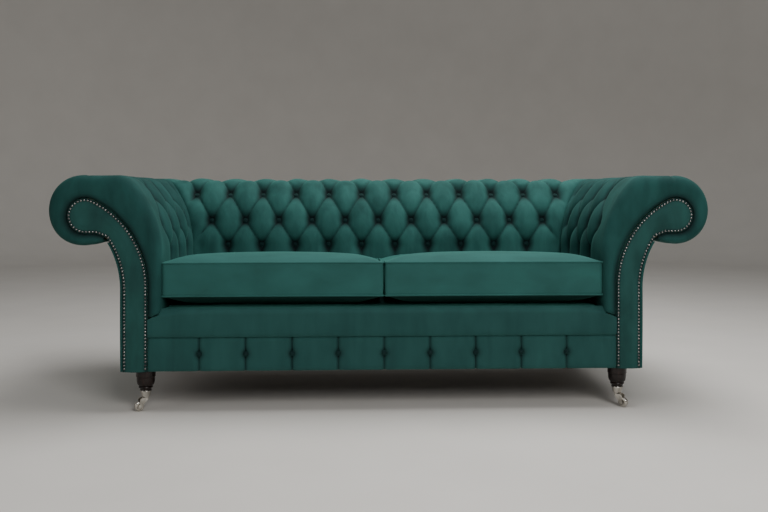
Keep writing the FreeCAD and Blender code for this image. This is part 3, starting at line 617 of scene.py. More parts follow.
def arm_padding(side, name, plump, dart):
    """Arm cover as a grid: rows follow the section, columns go from the facing's edge back to the mitre."""
    lip_y = pad_front + lip_depth
    seam_y = np.minimum(section[:, 0], corner_reach) - back_shift
    share = np.linspace(0, 1, arm_steps)
    y = lip_y + (seam_y - lip_y)[:, None] * share
    across = (arm_rear_button - y) / arm_pitch + 0.5
    level = np.broadcast_to(row_level[:, None], y.shape)
    last_button = 0.5 + np.interp(row_level, [0, 1, 2, 3], [2.5, 3, 2.5, 3])[:, None]
    beyond = (across - last_button) * arm_pitch
    pleats, dimples = buttoned(across, level, arm_pitch, arm_tufts - 0.4)
    drawn = pleat_depth * np.where(beyond < 0, pleats, np.exp(-beyond / plain_fade)) + dimple_depth * dimples
    outer = smooth(roll_centre[0] - 0.02, half_width, section[:, 0])[:, None]
    dart_line = np.exp(-((section_along - section_along[dart_row]) / dart_width) ** 2)[:, None]
    from_front = y - pad_front
    extra = plump * outer * smooth(0.45, 0.0, from_front) - dart * dart_line * smooth(0.13, 0.03, from_front)
    reach, height, fold_shade = covered(y, level, drawn, seam_y[:, None] - y, extra)
    y = y + (share ** 6) * (np.minimum(reach, corner_reach) - back_shift - seam_y[:, None])[:, -1:]
    board = nearest(section, board_edge())
    turn = np.linspace(0, np.pi / 2, lip_steps, endpoint=False)
    outward = np.sin(turn)
    width = np.linalg.norm(section - board, axis=1)[:, None]
    lip_reach = board[:, :1] + (reach[:, :1] - board[:, :1]) * outward
    lip_height = board[:, 1:] + (height[:, :1] - board[:, 1:]) * outward
    swelling = lip_bulge * np.sin(2 * turn) * smooth(0.002, 0.034, width)
    lip = pad_front + lip_depth * (1 - np.cos(turn)) - swelling
    grid = np.stack([
        side * np.concatenate([lip_reach, reach], 1),
        np.concatenate([np.broadcast_to(lip, lip_reach.shape), y], 1),
        np.concatenate([lip_height, height], 1),
    ], -1)
    inner = section - section_out * np.minimum(wall_depth, np.maximum(width - 0.004, 0.002))
    inner_reach, inner_height = inner.T
    inner_seam = np.minimum(inner_reach, corner_reach) - back_shift
    first = np.column_stack([side * inner_reach, np.full(section_steps, pad_front + 0.012), inner_height])
    last = np.column_stack([side * inner_reach, inner_seam, inner_height])
    # Painted shade: a dark band on the lip next to the nailed edge, and darker colour in the pleats and
    # dimples.
    crevice_shade = 0.9 * np.exp(-(width * outward / crevice_shade_width) ** 2) * smooth(0.0, 0.004, width)
    return make(name, *shell(grid, first, last), painted_shade=np.concatenate([crevice_shade, fold_shade], 1))


bodies = {"left": -1, "right": 1}
for word, side, plump, dart in (("left", -1, 0.008, 0.001), ("right", 1, 0.001, 0.005)):
    padding = arm_padding(side, word + "_arm_padding", plump, dart)
    finish_piece(padding, "sofa", "tufted_velvet", shaded_arm_velvet, word + "_arm_pad")
    print(padding.name, len(padding.data.polygons), "faces")

# %% [markdown]
# The back's cover has the same rows. It spans from mitre to mitre, and at both rear corners the roll goes
# on round a quarter turn, with small gathers where the cloth has to shrink into the bend.

# %% Back padding
back_tufts = 12
back_pitch = 2 * (pad_face - 0.003) / (back_tufts - 1)
back_steps = 392
gather_depth = 0.0035
gather_count = 6


def back_padding():
    """Back cover as a grid: rows follow the section, columns go from the left mitre to the right one."""
    seam = np.minimum(section[:, 0], corner_reach)[:, None]
    share = np.linspace(-1, 1, back_steps)
    x = seam * share
    level = np.broadcast_to(row_level[:, None], x.shape)
    pleats, dimples = buttoned(x / back_pitch + 0.5, level, back_pitch)
    drawn = pleat_depth * pleats + dimple_depth * dimples
    reach, height, fold_shade = covered(x, level, drawn, seam - np.abs(x))
    x = x + np.sign(share) * np.abs(share) ** 12 * (np.minimum(reach, corner_reach) - seam)[:, -1:]
    grid = np.stack([x, reach - back_shift, height], -1)
    inner_reach, inner_height = (section - section_out * wall_depth).T
    inner_seam = np.minimum(inner_reach, corner_reach)
    ends = [np.column_stack([end * inner_seam, inner_reach - back_shift, inner_height]) for end in (-1, 1)]
    # Painted shade goes with the pleats and dimples into the colour.
    return make("back_padding", *shell(grid, *ends), painted_shade=fold_shade)


def corner_padding(side, name):
    """The roll turned round a rear corner: the outer part of the section swept about an upright axis."""
    beyond = section[:, 0] >= corner_reach - 1e-9
    beyond &= section[:, 1] > underside - 0.002
    proud = section + section_out * pillow_rise * last_fade
    top, foot = (corner_reach, top_height + pillow_rise), (corner_reach, underside)
    rim = np.concatenate([[top], proud[beyond], [foot]])
    turn = np.radians(np.linspace(0, 90, 60))[None]
    from_axis = rim[:, :1] - corner_reach
    gathers = -gather_depth * np.abs(np.sin(gather_count * 2 * turn)) ** 0.5 * np.sin(2 * turn) ** 2
    lower = smooth(0.02, 0.10, from_axis)
    radius = from_axis + gathers * lower
    grid = np.stack([side * (corner_reach + radius * np.cos(turn)), corner_y + radius * np.sin(turn),
                     np.broadcast_to(rim[:, 1:], radius.shape)], -1)
    rows, columns, _ = grid.shape
    caps = [list(range(0, rows * columns, columns)), list(range(columns - 1, rows * columns, columns))]
    return make(name, grid, cells(rows, columns), caps)


backing = back_padding()
finish_piece(backing, "sofa", "tufted_velvet", pad_velvet, "back_pad")
for word, side in bodies.items():
    corner = corner_padding(side, word + "_rear_corner_padding")
    finish_piece(corner, "sofa", "tufted_velvet", pad_velvet)
print(backing.name, len(backing.data.polygons), "faces, and a corner", len(corner.data.polygons))

# %% [markdown]
# Each button is a domed shell of the same velvet in a much darker colour, painted shade for the bottom of its
# dimple. It sits in its dimple, so its place is the row's point drawn in along the section's outward
# direction.

# %% Covered buttons
button_tilts = np.radians([0.5, 26, 52, 74, 90, 104])
button_sides = 14


def discs(places, outward, radius, rise, name, sides=button_sides):
    """Domed buttons: rings whose radius follows a sine and whose height a cosine, one for each place."""
    angle = np.linspace(0, 2 * np.pi, sides, endpoint=False)
    tilt = button_tilts[:, None]
    rings, size = len(tilt), len(tilt) * sides
    ring = np.stack([np.sin(tilt) * np.cos(angle), np.sin(tilt) * np.sin(angle),
                     np.broadcast_to(np.cos(tilt), (rings, sides))], -1) * (radius, radius, rise)
    places, outward = np.asarray(places, float), np.asarray(outward, float)
    helper = np.where(np.abs(outward[:, 2:]) > 0.9, [[0, 1, 0]], [[0, 0, 1]])
    side_way = np.cross(helper, outward)
    side_way /= np.linalg.norm(side_way, axis=1)[:, None]
    up_way = np.cross(outward, side_way)
    frames = np.stack([side_way, up_way, outward], 1)
    points = np.einsum("rsk,nkc->nrsc", ring, frames) + places[:, None, None]
    starts = range(0, len(places) * size, size)
    faces = (cells(rings, sides, around_columns=True) + np.array(starts)[:, None, None]).reshape(-1, 4)
    firsts = [start + skip for start in starts for skip in (0, size - sides)]
    ends = [list(range(first, first + sides)) for first in firsts]
    return make(name, points, faces, ends, weld=1e-6)


print("a button is a shell of", (len(button_tilts) - 1) * button_sides, "faces and two caps")

# %% [markdown]
# Ten to twelve buttons stand in each row of the back and three or four in each row of an arm, every other
# row shifted by half a step. A small button of the same make holds each pleat of the front border later.

# %% Buttons of the back and the arms
button_radius = 0.0115
button_rise = 0.0075
seat_depth_of_button = pleat_depth + dimple_depth - pillow_rise - 0.0015
row_out = np.array([section_out[np.argmin(np.abs(section_along - a))] for a in row_along])
button_rows = row_points - row_out * seat_depth_of_button


def row_places(counts, pitch, start):
    """Places along each row, as pairs of row number and distance along the row."""
    return [(row, start + pitch * (number - (count - 1) / 2))
            for row, count in enumerate(counts) for number in range(count)]


back_places, back_out = [], []
for row, x in row_places((back_tufts - 2, back_tufts - 1, back_tufts, back_tufts - 1), back_pitch, 0.0):
    back_places.append((x, button_rows[row][0] - back_shift, button_rows[row][1]))
    back_out.append((0, row_out[row][0], row_out[row][1]))
back_trim = discs(back_places, back_out, button_radius, button_rise, "back_trim_buttons")
finish_piece(back_trim, "sofa", "button_velvet", button_velvet, "back_buttons")
for word, side in bodies.items():
    places, outs = [], []
    for row, y in row_places((3, 4, 3, 4), arm_pitch, arm_rear_button - 1.5 * arm_pitch):
        places.append((side * button_rows[row][0], y, button_rows[row][1]))
        outs.append((side * row_out[row][0], 0, row_out[row][1]))
    trim = discs(places, outs, button_radius, button_rise, word + "_arm_trim_buttons")
    finish_piece(trim, "sofa", "button_velvet", button_velvet, word + "_arm_buttons")
print("buttons", len(back_places), "on the back,", len(places), "on each arm")

# %% [markdown]
# The facing is the flat, scroll-shaped front of an arm: velvet over a thin board, slightly padded, drawn
# down along its edge by a close row of nails. Its two long edges are paired point by point, and the face
# rises from the edge, dips under the nails and swells a little in the middle.

# %% Arm facings
scroll_tip = -20.0
face_ease = 0.004
face_rise = 0.0045
face_swell = 0.0032
channel_depth = 0.0026
channel_width = 0.0035
channel_inset = 0.0065
shadow_width = 0.0085


def facing_edges(count=260):
    """The facing's inner edge and its outer edge, both from the foot to the tip of the scroll."""
    heights = np.linspace(neck_spring, throat[1], 60)
    inner = np.concatenate([
        run((board_face, leg_top), (board_face, board_spring)),
        arc(board_middle, board_size, 180, board_end, 120),
        arc(scroll_centre, scroll_radius, board_end, scroll_tip, 80),
    ])
    outer = np.concatenate([
        run((neck_face, leg_top), (neck_face, neck_spring)),
        np.column_stack([neck_at(heights), heights]),
        run(throat, throat_turn, (fold_reach, scroll_low), (scroll_centre[0], scroll_low)),
        arc(scroll_centre, scroll_radius, -90, scroll_tip, 60),
    ])
    return evenly(inner, count), evenly(outer, count)


def facing(side, name):
    """Facing as a grid between its two edges, with the face's height a function of the way to the edge."""
    inner, outer = facing_edges()
    share = 0.5 - 0.5 * np.cos(np.linspace(0, np.pi, 41))
    plane = inner[:, None] + (outer - inner)[:, None] * share[None, :, None]
    rim = np.concatenate([inner, outer[::-1]])
    away = np.linalg.norm(plane.reshape(-1, 1, 2) - rim[None], axis=2).min(1).reshape(plane.shape[:2])
    edge = face_rise * np.sqrt(np.clip(away / face_ease, 0, 1))
    channel = channel_depth * np.exp(-((away - channel_inset) / channel_width) ** 2)
    middle = face_swell * smooth(0.010, 0.030, away)
    y = facing_high.y - 0.002 - edge + channel - middle
    front = np.stack([side * plane[..., 0], y, plane[..., 1]], -1)
    back = np.stack([side * plane[..., 0], np.full(y.shape, facing_high.y), plane[..., 1]], -1)
    rows, columns, _ = front.shape
    count = rows * columns
    loop = np.concatenate([np.arange(columns), np.arange(1, rows) * columns + columns - 1,
                           (rows - 1) * columns + np.arange(columns - 2, -1, -1),
                           np.arange(rows - 2, 0, -1) * columns])
    band = np.stack([loop, np.roll(loop, -1), np.roll(loop, -1) + count, loop + count], -1)
    faces = np.concatenate([cells(rows, columns), cells(rows, columns, first=count), band])
    shadow = 0.8 * np.exp(-(away / shadow_width) ** 2)
    return make(name, np.concatenate([front.reshape(-1, 3), back.reshape(-1, 3)]), faces, painted_shade=shadow)


print("facing edges", [round(travelled(edge)[-1], 3) for edge in facing_edges()], "long")

# %% [markdown]
# The nails stand close together, with a small gap between the heads, a few millimetres inside the facing's
# edge. Their line is the outline drawn in equally far everywhere, and it is cut where it would cross itself.

# %% Nails
nail_pitch = 0.0105
nail_radius = 0.0037
nail_inset = 0.0060
nail_rise = 0.0030


def nail_line():
    """Places of the nails: the facing's outline drawn in by a nail's width, at even steps."""
    inner, outer = facing_edges(900)
    rim = np.concatenate([inner, outer[::-1]])
    tangent = np.gradient(rim, axis=0)
    tangent /= np.linalg.norm(tangent, axis=1)[:, None] + 1e-12
    drawn = rim + np.column_stack([tangent[:, 1], -tangent[:, 0]]) * nail_inset
    clear = np.min(np.linalg.norm(drawn[:, None] - rim[None], axis=2), axis=1) > nail_inset - 0.0005
    drawn = drawn[clear]
    return evenly(drawn, int(travelled(drawn)[-1] / nail_pitch))


nails = nail_line()
nails = nails[nails[:, 1] > leg_top + 0.004]
for word, side in bodies.items():
    face = facing(side, word + "_scroll_facing")
    finish_piece(face, "sofa", "facing_velvet", face_velvet, word + "_arm_facing")
    nail_y = np.full(len(nails), facing_high.y - face_rise)
    places = np.column_stack([side * nails[:, 0], nail_y, nails[:, 1]])
    outs = np.tile([0.0, -1.0, 0.0], (len(nails), 1))
    heads = discs(places, outs, nail_radius, nail_rise, word + "_facing_nails", sides=8)
    finish_piece(heads, "sofa", "castor_nickel", nail_metal)
print("nails on each facing", len(nails))

# %% [markdown]
# Behind the arms and the back a plain panel of velvet is stretched over the neck of the boards, from the
# underside of the frame up to the roll. Being tight, it is nearly flat, with a faint pull between edges.

# %% Outer panels
panel_outside = 0.0078
panel_inside = 0.001
panel_pull = 0.0012
ripple_size = 0.0004


def outer_panel(name, side=0):
    """Stretched panel, faintly bulged: rows go up the neck, columns along an arm, or the back for side 0."""
    heights = np.linspace(leg_top, underside - 0.001, 90)
    reach = neck_at(heights, panel_outside)[:, None]
    inside = neck_at(heights, panel_inside)
    if side:
        along = pad_front + (reach - back_shift - pad_front) * np.linspace(0, 1, 90)
    else:
        along = reach * np.linspace(-1, 1, 160)
    level = np.broadcast_to(heights[:, None], along.shape)
    pull = panel_pull * np.sin(np.pi * (level - leg_top) / (underside - leg_top))
    pull = pull + ripple_size * np.sin(along * 29 + level * 11)
    wide = reach + pull * smooth(0, 0.03, level - leg_top)
    if side:
        first = np.column_stack([side * inside, np.full(len(heights), pad_front), heights])
        last = np.column_stack([side * inside, inside - back_shift, heights])
        return make(name, *shell(np.stack([side * wide, along, level], -1), first, last))
    first, last = (np.column_stack([end * inside, inside - back_shift, heights]) for end in (-1, 1))
    return make(name, *shell(np.stack([along, wide - back_shift, level], -1), first, last))


for word, side in bodies.items():
    panel = outer_panel(word + "_outer_arm_cover", side)
    finish_piece(panel, "sofa", "panel_velvet", wall_velvet, word + "_outer_arm_panel")
back_cover = outer_panel("outer_back_cover")
finish_piece(back_cover, "sofa", "panel_velvet", wall_velvet, "outer_back_panel")
print("outer back cover", len(back_cover.data.polygons), "faces")

# %% [markdown]
# The front border has two bands. The upper one is plain and rolls over the front edge of the seat
# platform. The lower one is gathered into ten panels, each pleat held by a small button half-way up.
# Both are drawn in at the seam between them, which leaves a thin dark line.

# %% Front border
band_low, band_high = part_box("upper_front_border")
pleated_low, pleated_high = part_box("pleated_front_border")
seam_height = pleated_high.z
border_panels = 10
border_pitch = 2 * (pleated_high.x - 0.010) / border_panels
border_button_height = leg_top + 0.054
band_reach = board_face - 0.0006
band_round = 0.020
band_swell = 0.0012
crease_depth = 0.0085
crease_width = 0.0040
tuck_width = 0.004
border_dimple = 0.0065
border_dimple_radius = 0.014


def upper_band():
    """Upper band: a profile from the seam up over the platform's edge, carried from arm to arm."""
    front, back, top = band_low.y, band_high.y, band_high.z
    turn = np.radians(np.linspace(180, 90, 16))
    turn_z = top - band_round
    profile = np.concatenate([
        [(back - 0.001, seam_height + 0.0005), (front + 0.0060, seam_height + 0.0005),
         (front + 0.0022, seam_height + 0.004), (front + 0.0008, seam_height + 0.012)],
        np.column_stack([np.full(14, front), np.linspace(seam_height + 0.024, turn_z, 14)]),
        np.column_stack([front + band_round * (1 + np.cos(turn)), turn_z + band_round * np.sin(turn)])[1:],
        [(back - 0.001, top - 0.0005)],
    ])
    x = np.linspace(-1, 1, 260)
    foot = pad_low.z + np.array([-0.002, 0.0, foot_turn, foot_height])
    reach = np.interp(profile[:, 1], foot, [band_reach, tuck[0], pad_face + 0.0025, pad_face])[:, None]
    grid_x = reach * x[None]
    share = np.clip((profile[:, 1:] - seam_height) / (top - seam_height), 0, 1)
    swell_out = band_swell * np.sin(np.pi * share)
    ripple = 0.0005 * np.sin(grid_x * 41 + profile[:, 1:] * 30) + 0.0004 * np.sin(grid_x * 17 - 1.0)
    front_part = smooth(back - 0.004, front + 0.004, profile[:, :1])
    y = profile[:, :1] - (swell_out + ripple) * front_part
    near_arm = smooth(pad_face - 0.075, pad_face, np.abs(grid_x))
    sink = 0.014 * near_arm * smooth(pad_low.z, top, profile[:, 1:]) * front_part
    grid = np.stack([grid_x, y, profile[:, 1:] - sink], -1)
    rows, columns, _ = grid.shape
    caps = [list(range(0, rows * columns, columns)), list(range(columns - 1, rows * columns, columns))]
    return make("upper_band", grid, cells(rows, columns, around_rows=True), caps, sharp=60)


print("border panels", border_panels, "of", round(border_pitch, 3))

# %% [markdown]
# The lower band hangs from the seam. Between two pleats the velvet stands a little full, and at a pleat it
# drops into a narrow crease; next to the seam it shows fine gathers.

# %% Pleated border
def pleated_band():
    """Lower band: each panel bulges between its pleats, which deepen at the buttons."""
    front, back = pleated_low.y, pleated_high.y
    x = np.linspace(-band_reach, band_reach, 620)
    height = np.concatenate([[leg_top], leg_top + np.array([0.0015, 0.004, 0.008]),
                             np.linspace(leg_top + 0.014, seam_height - 0.014, 26),
                             seam_height - np.array([0.008, 0.004, 0.0015]), [seam_height - 0.0003]])
    count = x / border_pitch
    off = np.abs(count - np.round(count)) * border_pitch
    off = np.where(np.abs(np.round(count)) > border_panels / 2 - 0.5, np.maximum(off, 0.05), off)
    crease = crease_depth * np.exp(-off / crease_width) + 0.003 * np.exp(-off / 0.020)
    fullness = -0.0010 * np.cos(2 * np.pi * count)
    from_button = np.hypot(off[None], (height - border_button_height)[:, None])
    dimple = border_dimple * np.exp(-(from_button / border_dimple_radius) ** 1.6)
    below_seam, above_foot = (seam_height - height)[:, None], (height - leg_top)[:, None]
    tucked = 0.006 * np.exp(-below_seam / tuck_width) + 0.005 * np.exp(-above_foot / tuck_width)
    gathers = 0.0006 * np.sin(x * 210 + 3 * np.sin(x * 19)) * np.exp(-below_seam / 0.018)
    y = front + 0.002 + (crease + fullness)[None] + dimple + tucked + gathers
    ends = 0.003 * np.exp(-(band_reach - np.abs(x)) / 0.004)
    y = np.minimum(y + ends[None], back - 0.002)
    grid = np.stack([np.broadcast_to(x, y.shape), y, np.broadcast_to(height[:, None], y.shape)], -1)
    rows = len(height)
    first = np.column_stack([np.full(rows, x[0]), np.full(rows, back), height])
    last = np.column_stack([np.full(rows, x[-1]), np.full(rows, back), height])
    # Painted shade: the colour darkens along each pleat's crease and round each button.
    dark = 0.8 * np.exp(-off / 0.003)[None] + 0.9 * np.exp(-(from_button / 0.013) ** 2)
    return make("pleated_band", *shell(grid, first, last), painted_shade=np.minimum(dark, 1))


upper = upper_band()
finish_piece(upper, "sofa", "border_velvet", band_velvet, "upper_front_border")
lower = pleated_band()
finish_piece(lower, "sofa", "border_velvet", band_velvet, "pleated_front_border")
places = [(border_pitch * k, pleated_low.y + 0.0105, border_button_height) for k in range(-4, 5)]
small = discs(places, np.tile([0.0, -1.0, 0.0], (9, 1)), 0.0095, 0.0065, "border_trim_buttons")
finish_piece(small, "sofa", "button_velvet", button_velvet, "front_border_buttons")
print("border buttons", len(places), "bands reach", round(band_reach, 4))

# %% [markdown]
# The platform under the cushions is felt and cloth over webbing. It sags a little in its middle and dips
# down towards the pads.

# %% Seat platform
deck_low, deck_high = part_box("seat_deck")
edge_drop = 0.006
edge_width = 0.012
deck_sag = 0.0012


def platform():
    """Platform as a slab whose top is flat in the middle and rounds down at the pads."""
    x = np.linspace(deck_low.x, deck_high.x, 150)
    y = np.linspace(deck_low.y, deck_high.y, 70)
    grid_x, grid_y = np.meshgrid(x, y, indexing="ij")
    gap = np.minimum(deck_high.x - np.abs(grid_x), deck_high.y - grid_y)
    ripple = ripple_size * np.sin(grid_x * 23) * np.sin(grid_y * 31)
    z = deck_high.z - edge_drop * np.exp(-gap / edge_width) - deck_sag + ripple
    z = np.minimum(z, deck_high.z - ripple_size)
    top = np.stack([grid_x, grid_y, z], -1)
    first = np.column_stack([x, np.full(len(x), deck_low.y), np.full(len(x), deck_low.z)])
    last = np.column_stack([x, np.full(len(x), deck_high.y), np.full(len(x), deck_low.z)])
    return make("seat_platform", *shell(top, first, last))


deck = platform()
finish_piece(deck, "sofa", "deck_felt", band_velvet, "seat_deck")
print("platform", [round(c, 3) for c in (*deck_low, *deck_high)])

# %% [markdown]
# A thin black lining is stapled under the frame. It is one sheet with openings for the leg plates, and it
# hangs slightly between the rails.

# %% Dust cloth
cloth_low, cloth_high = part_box("dust_cover")
plate_low, plate_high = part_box("leg_plates")
plate_size = 0.064
plate_gap = 0.0005
cloth_sag = 0.004


def dust_cloth():
    """Sheet over a grid of lines that include the edges of the openings; cells in an opening are left out."""
    half_hole = plate_size / 2 + plate_gap
    plate_x = plate_high.x - plate_size / 2
    rear_y = plate_high.y - plate_size / 2
    front_hole = plate_low.y + plate_size
    hole_x = [side * (plate_x + way * half_hole) for side in (-1, 1) for way in (-1, 1)]
    hole_y = [rear_y - half_hole, rear_y + half_hole, front_hole]
    x_lines = np.unique(np.concatenate([np.linspace(cloth_low.x, cloth_high.x, 80), hole_x]))
    y_lines = np.unique(np.concatenate([np.linspace(cloth_low.y, cloth_high.y, 40), hole_y]))
    grid_x, grid_y = np.meshgrid(x_lines, y_lines, indexing="ij")
    border = np.minimum.reduce([cloth_high.x - np.abs(grid_x), grid_y - cloth_low.y, cloth_high.y - grid_y])
    z = cloth_high.z - 0.0006 - cloth_sag * smooth(0.03, 0.25, border)
    z = z + ripple_size * np.sin(grid_x * 61) * smooth(0, 0.03, border)
    faces = cells(len(x_lines), len(y_lines))
    middle_x = grid_x.ravel()[faces].mean(1)
    middle_y = grid_y.ravel()[faces].mean(1)
    at_leg = np.abs(np.abs(middle_x) - plate_x) < half_hole
    at_rear = np.abs(middle_y - rear_y) < half_hole
    faces = faces[~(at_leg & (at_rear | (middle_y < front_hole)))]
    item = make("dust_cloth", np.stack([grid_x, grid_y, z], -1), faces)
    thick = item.modifiers.new("cloth", "SOLIDIFY")
    thick.thickness = 0.0009
    thick.offset = 0.0
    return item


under = dust_cloth()
finish_piece(under, "sofa", "dust_cloth", lining, "dust_cover")

# %% [markdown]
# The seat cushions are box cushions: a top and a bottom panel joined by an upright strip, with a thin
# welt in both seams. A foam core makes them crowned, and the upper seam lies lower at the back than in
# front. The shape starts as panels between two seam lines, a little too small.

# %% Seat cushions
cushion_low, cushion_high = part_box("right_cushion_cover")
lower_seam, upper_seam = 0.369, 0.475
seam_dip = 0.032
seam_inset = 0.0006
seam_power = 150
side_pull = 0.0055
crown_height = 0.026
belly_height = 0.032
held_reach = 0.009
held_rise = 0.006
swell_limit = 0.022
voxel = 0.0065
filling_pressure = 4.0
filling_frames = 20
welt_inset = 0.0012
welt_radius = 0.0030


def dipped(y):
    """How much lower the upper seam lies at a depth: nothing in front, most behind."""
    return seam_dip * smooth(cushion_low.y + 0.02, cushion_high.y - 0.16, y)


def seam_line(inset=0.0, count=240):
    """Seam in plan: a rectangle whose sides pull in between the corners, which stay pointed."""
    widest = pad_face - 0.0015
    x_middle, y_middle = (cushion_low.x + widest) / 2, (cushion_low.y + cushion_high.y) / 2
    x_half, y_half = (widest - cushion_low.x) / 2, (cushion_high.y - cushion_low.y) / 2
    turn = np.linspace(0, 2 * np.pi, count * 8, endpoint=False) + np.pi / 4
    size = (np.abs(np.cos(turn)) ** seam_power + np.abs(np.sin(turn)) ** seam_power) ** (-1 / seam_power)
    plan = np.column_stack([np.cos(turn), np.sin(turn)]) * size[:, None]
    pull = side_pull * (1 - np.minimum(np.abs(plan[:, 0]), np.abs(plan[:, 1])) ** 5)
    half = np.array([x_half, y_half]) - inset
    line = plan * half
    line -= np.sign(plan) * (np.abs(plan) > 0.98) * pull[:, None]
    closed = evenly(np.concatenate([line, line[:1]]), count + 1)[:-1]
    return closed + (x_middle, y_middle)


def cushion_start(side, name):
    """Cushion before it is filled: rings from the crown down over both seams to the flat underside."""
    rim = seam_line(seam_inset)
    centre = rim.mean(0)
    shares = np.array([0.12, 0.25, 0.4, 0.5, 0.6, 0.66, 0.72, 0.78, 0.84, 0.89, 0.93, 0.965, 0.985])
    shares = shares[:, None, None]
    plan = centre + (rim - centre) * shares
    lift = np.sin(np.pi / 2 * np.clip((1 - shares) / 0.32, 0, 1))
    top = np.concatenate([plan, upper_seam - dipped(plan[..., 1:]) + crown_height * lift], -1)
    down = np.linspace(0, 1, 8)[:, None, None]
    edge = upper_seam - dipped(rim[:, 1:])
    strip = np.concatenate([np.broadcast_to(rim, (8, *rim.shape)), edge + (lower_seam - edge) * down], -1)
    belly = np.broadcast_to(lower_seam - belly_height * lift, (*plan.shape[:2], 1))
    grid = np.concatenate([top, strip, np.concatenate([plan, belly], -1)[::-1]])
    grid[..., 0] *= side
    rows, columns, _ = grid.shape
    caps = [list(range(columns)), list(range((rows - 1) * columns, rows * columns))]
    return make(name, grid, cells(rows, columns, around_columns=True), caps)


print("cushion seam", round(travelled(seam_line())[-1], 3), "long, seams at", lower_seam, "and", upper_seam)

# %% [markdown]
# A cloth simulation with the seams held then blows the cushion up, as the filling does. The mesh is made
# even first, because a fill of unlike cells gives lumps, and no point may move further than a cap.
# Everything below the lower seam gets painted shade, the number that darkens the velvet.

# %% Filling a cushion
def vertices_of(mesh):
    """The mesh's points as an array."""
    points = np.zeros(len(mesh.vertices) * 3, np.float32)
    mesh.vertices.foreach_get("co", points)
    return points.reshape(-1, 3)


def applied(item):
    """The item's mesh with its modifiers worked in."""
    graph = bpy.context.evaluated_depsgraph_get()
    mesh = bpy.data.meshes.new_from_object(item.evaluated_get(graph))
    item.modifiers.clear()
    item.data = mesh
    return item


def filled(item, side):
    """Remeshes the cushion, lets cloth pressure fill it between its held seams, and paints shade below its
    lower seam.
    """
    even = item.modifiers.new("even", "REMESH")
    even.mode = "VOXEL"
    even.voxel_size = voxel
    applied(item)
    start = vertices_of(item.data)
    rim = seam_line(seam_inset) * (side, 1)
    near = np.concatenate([np.min(np.linalg.norm(part[:, None, :2] - rim[None], axis=2), axis=1)
                           for part in np.array_split(start, 40)])
    from_upper = np.abs(start[:, 2] - upper_seam + dipped(start[:, 1]))
    from_lower = np.abs(start[:, 2] - lower_seam)
    on_seam = (near < held_reach) & (np.minimum(from_upper, from_lower) < held_rise)
    group = item.vertex_groups.new(name="seams")
    group.add(np.nonzero(on_seam)[0].tolist(), 1.0, "REPLACE")
    cloth = item.modifiers.new("filling", "CLOTH")
    cloth.settings.use_pressure = True
    cloth.settings.uniform_pressure_force = filling_pressure
    cloth.settings.effector_weights.gravity = 0.0
    cloth.settings.vertex_group_mass = group.name
    cloth.settings.quality = 4
    for number in range(1, filling_frames + 1):
        bpy.context.scene.frame_set(number)
    applied(item)
    bpy.context.scene.frame_set(1)
    moved = vertices_of(item.data) - start
    length = np.linalg.norm(moved, axis=1)[:, None]
    print(item.name, "moved up to", round(float(length.max()), 4), "m,", int(on_seam.sum()), "points held")
    moved *= np.minimum(1, swell_limit / np.maximum(length, 1e-9))
    points = start + moved
    inward = side * points[:, 0]
    inward = np.clip(inward, cushion_low.x + 0.0004, pad_face - 0.001)
    points[:, 0] = side * inward
    points[:, 1] = np.minimum(points[:, 1], cushion_high.y + 0.004)
    points[:, 2] = np.maximum(points[:, 2], deck_high.z + 0.0012)
    item.data.vertices.foreach_set("co", points.astype(np.float32).ravel())
    item.data.update()
    item.data.shade_smooth()
    finer = item.modifiers.new("finer", "SUBSURF")
    finer.levels = finer.render_levels = 1
    applied(item)
    item.data.shade_smooth()
    # Painted shade: the cushion's underside, below the lower seam, is darkened through its colour.
    below = lower_seam - vertices_of(item.data)[:, 2]
    underside_shade = smooth(0.001, 0.004, below).astype(np.float32)
    item.data.attributes.new("painted_shade", "FLOAT", "POINT").data.foreach_set("value", underside_shade)
    return item


print("filling", filling_frames, "frames, travel at most", swell_limit)

# %% [markdown]
# The welt is a thin cord covered with velvet and sewn into the seam. It comes after the filling, which
# would swallow a form as thin as this.

# %% Welts and finished cushions
def welt(side, height, name):
    """Round welt: a small circle carried along the seam."""
    rim = seam_line(welt_inset, 420)
    step = np.roll(rim, -1, 0) - np.roll(rim, 1, 0)
    step /= np.linalg.norm(step, axis=1)[:, None]
    out = np.column_stack([step[:, 1], -step[:, 0]])
    angle = np.linspace(0, 2 * np.pi, 8, endpoint=False)
    plan = rim[:, None] + out[:, None] * (welt_radius * np.cos(angle))[None, :, None]
    seam = np.full(len(rim), height) - (dipped(rim[:, 1]) if height == upper_seam else 0)
    z = seam[:, None] + welt_radius * np.sin(angle)
    grid = np.concatenate([plan * (side, 1), z[..., None]], -1)
    return make(name, grid, cells(*grid.shape[:2], around_rows=True, around_columns=True))


for word, side in bodies.items():
    cushion = filled(cushion_start(side, word + "_seat_cushion"), side)
    finish_piece(cushion, word + "_cushion", "cushion_velvet", seat_velvet, word + "_cushion_cover",
                 word + "_cushion_core")
    for label, height in (("upper", upper_seam), ("lower", lower_seam)):
        edge = welt(side, height, word + "_cushion_" + label + "_welt")
        finish_piece(edge, word + "_cushion", "cushion_velvet", seat_velvet)
    print(cushion.name, len(cushion.data.polygons), "faces")

# %% [markdown]
# The front legs are turned on a lathe: a ring at the top, a long taper, a bead, and the end that the
# castor's cup holds. Turning is a profile carried round an upright axis.

# %% Legs
leg_low, leg_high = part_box("front_legs")
cup_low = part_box("castor_cups")[0]
rear_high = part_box("rear_legs")[1]
leg_x = leg_high.x - 0.031
leg_y = (leg_low.y + leg_high.y) / 2
leg_seat = leg_top - 0.0002
ring_radius = 0.0290
ring_ease = 0.0020
ring_low = leg_top - 0.0220
waist_radius = 0.0205
belly_swell = 0.0088
belly_drop = 0.0272
bead_radius = 0.0198
bead_swell = 0.0029
cup_rim = 0.0655


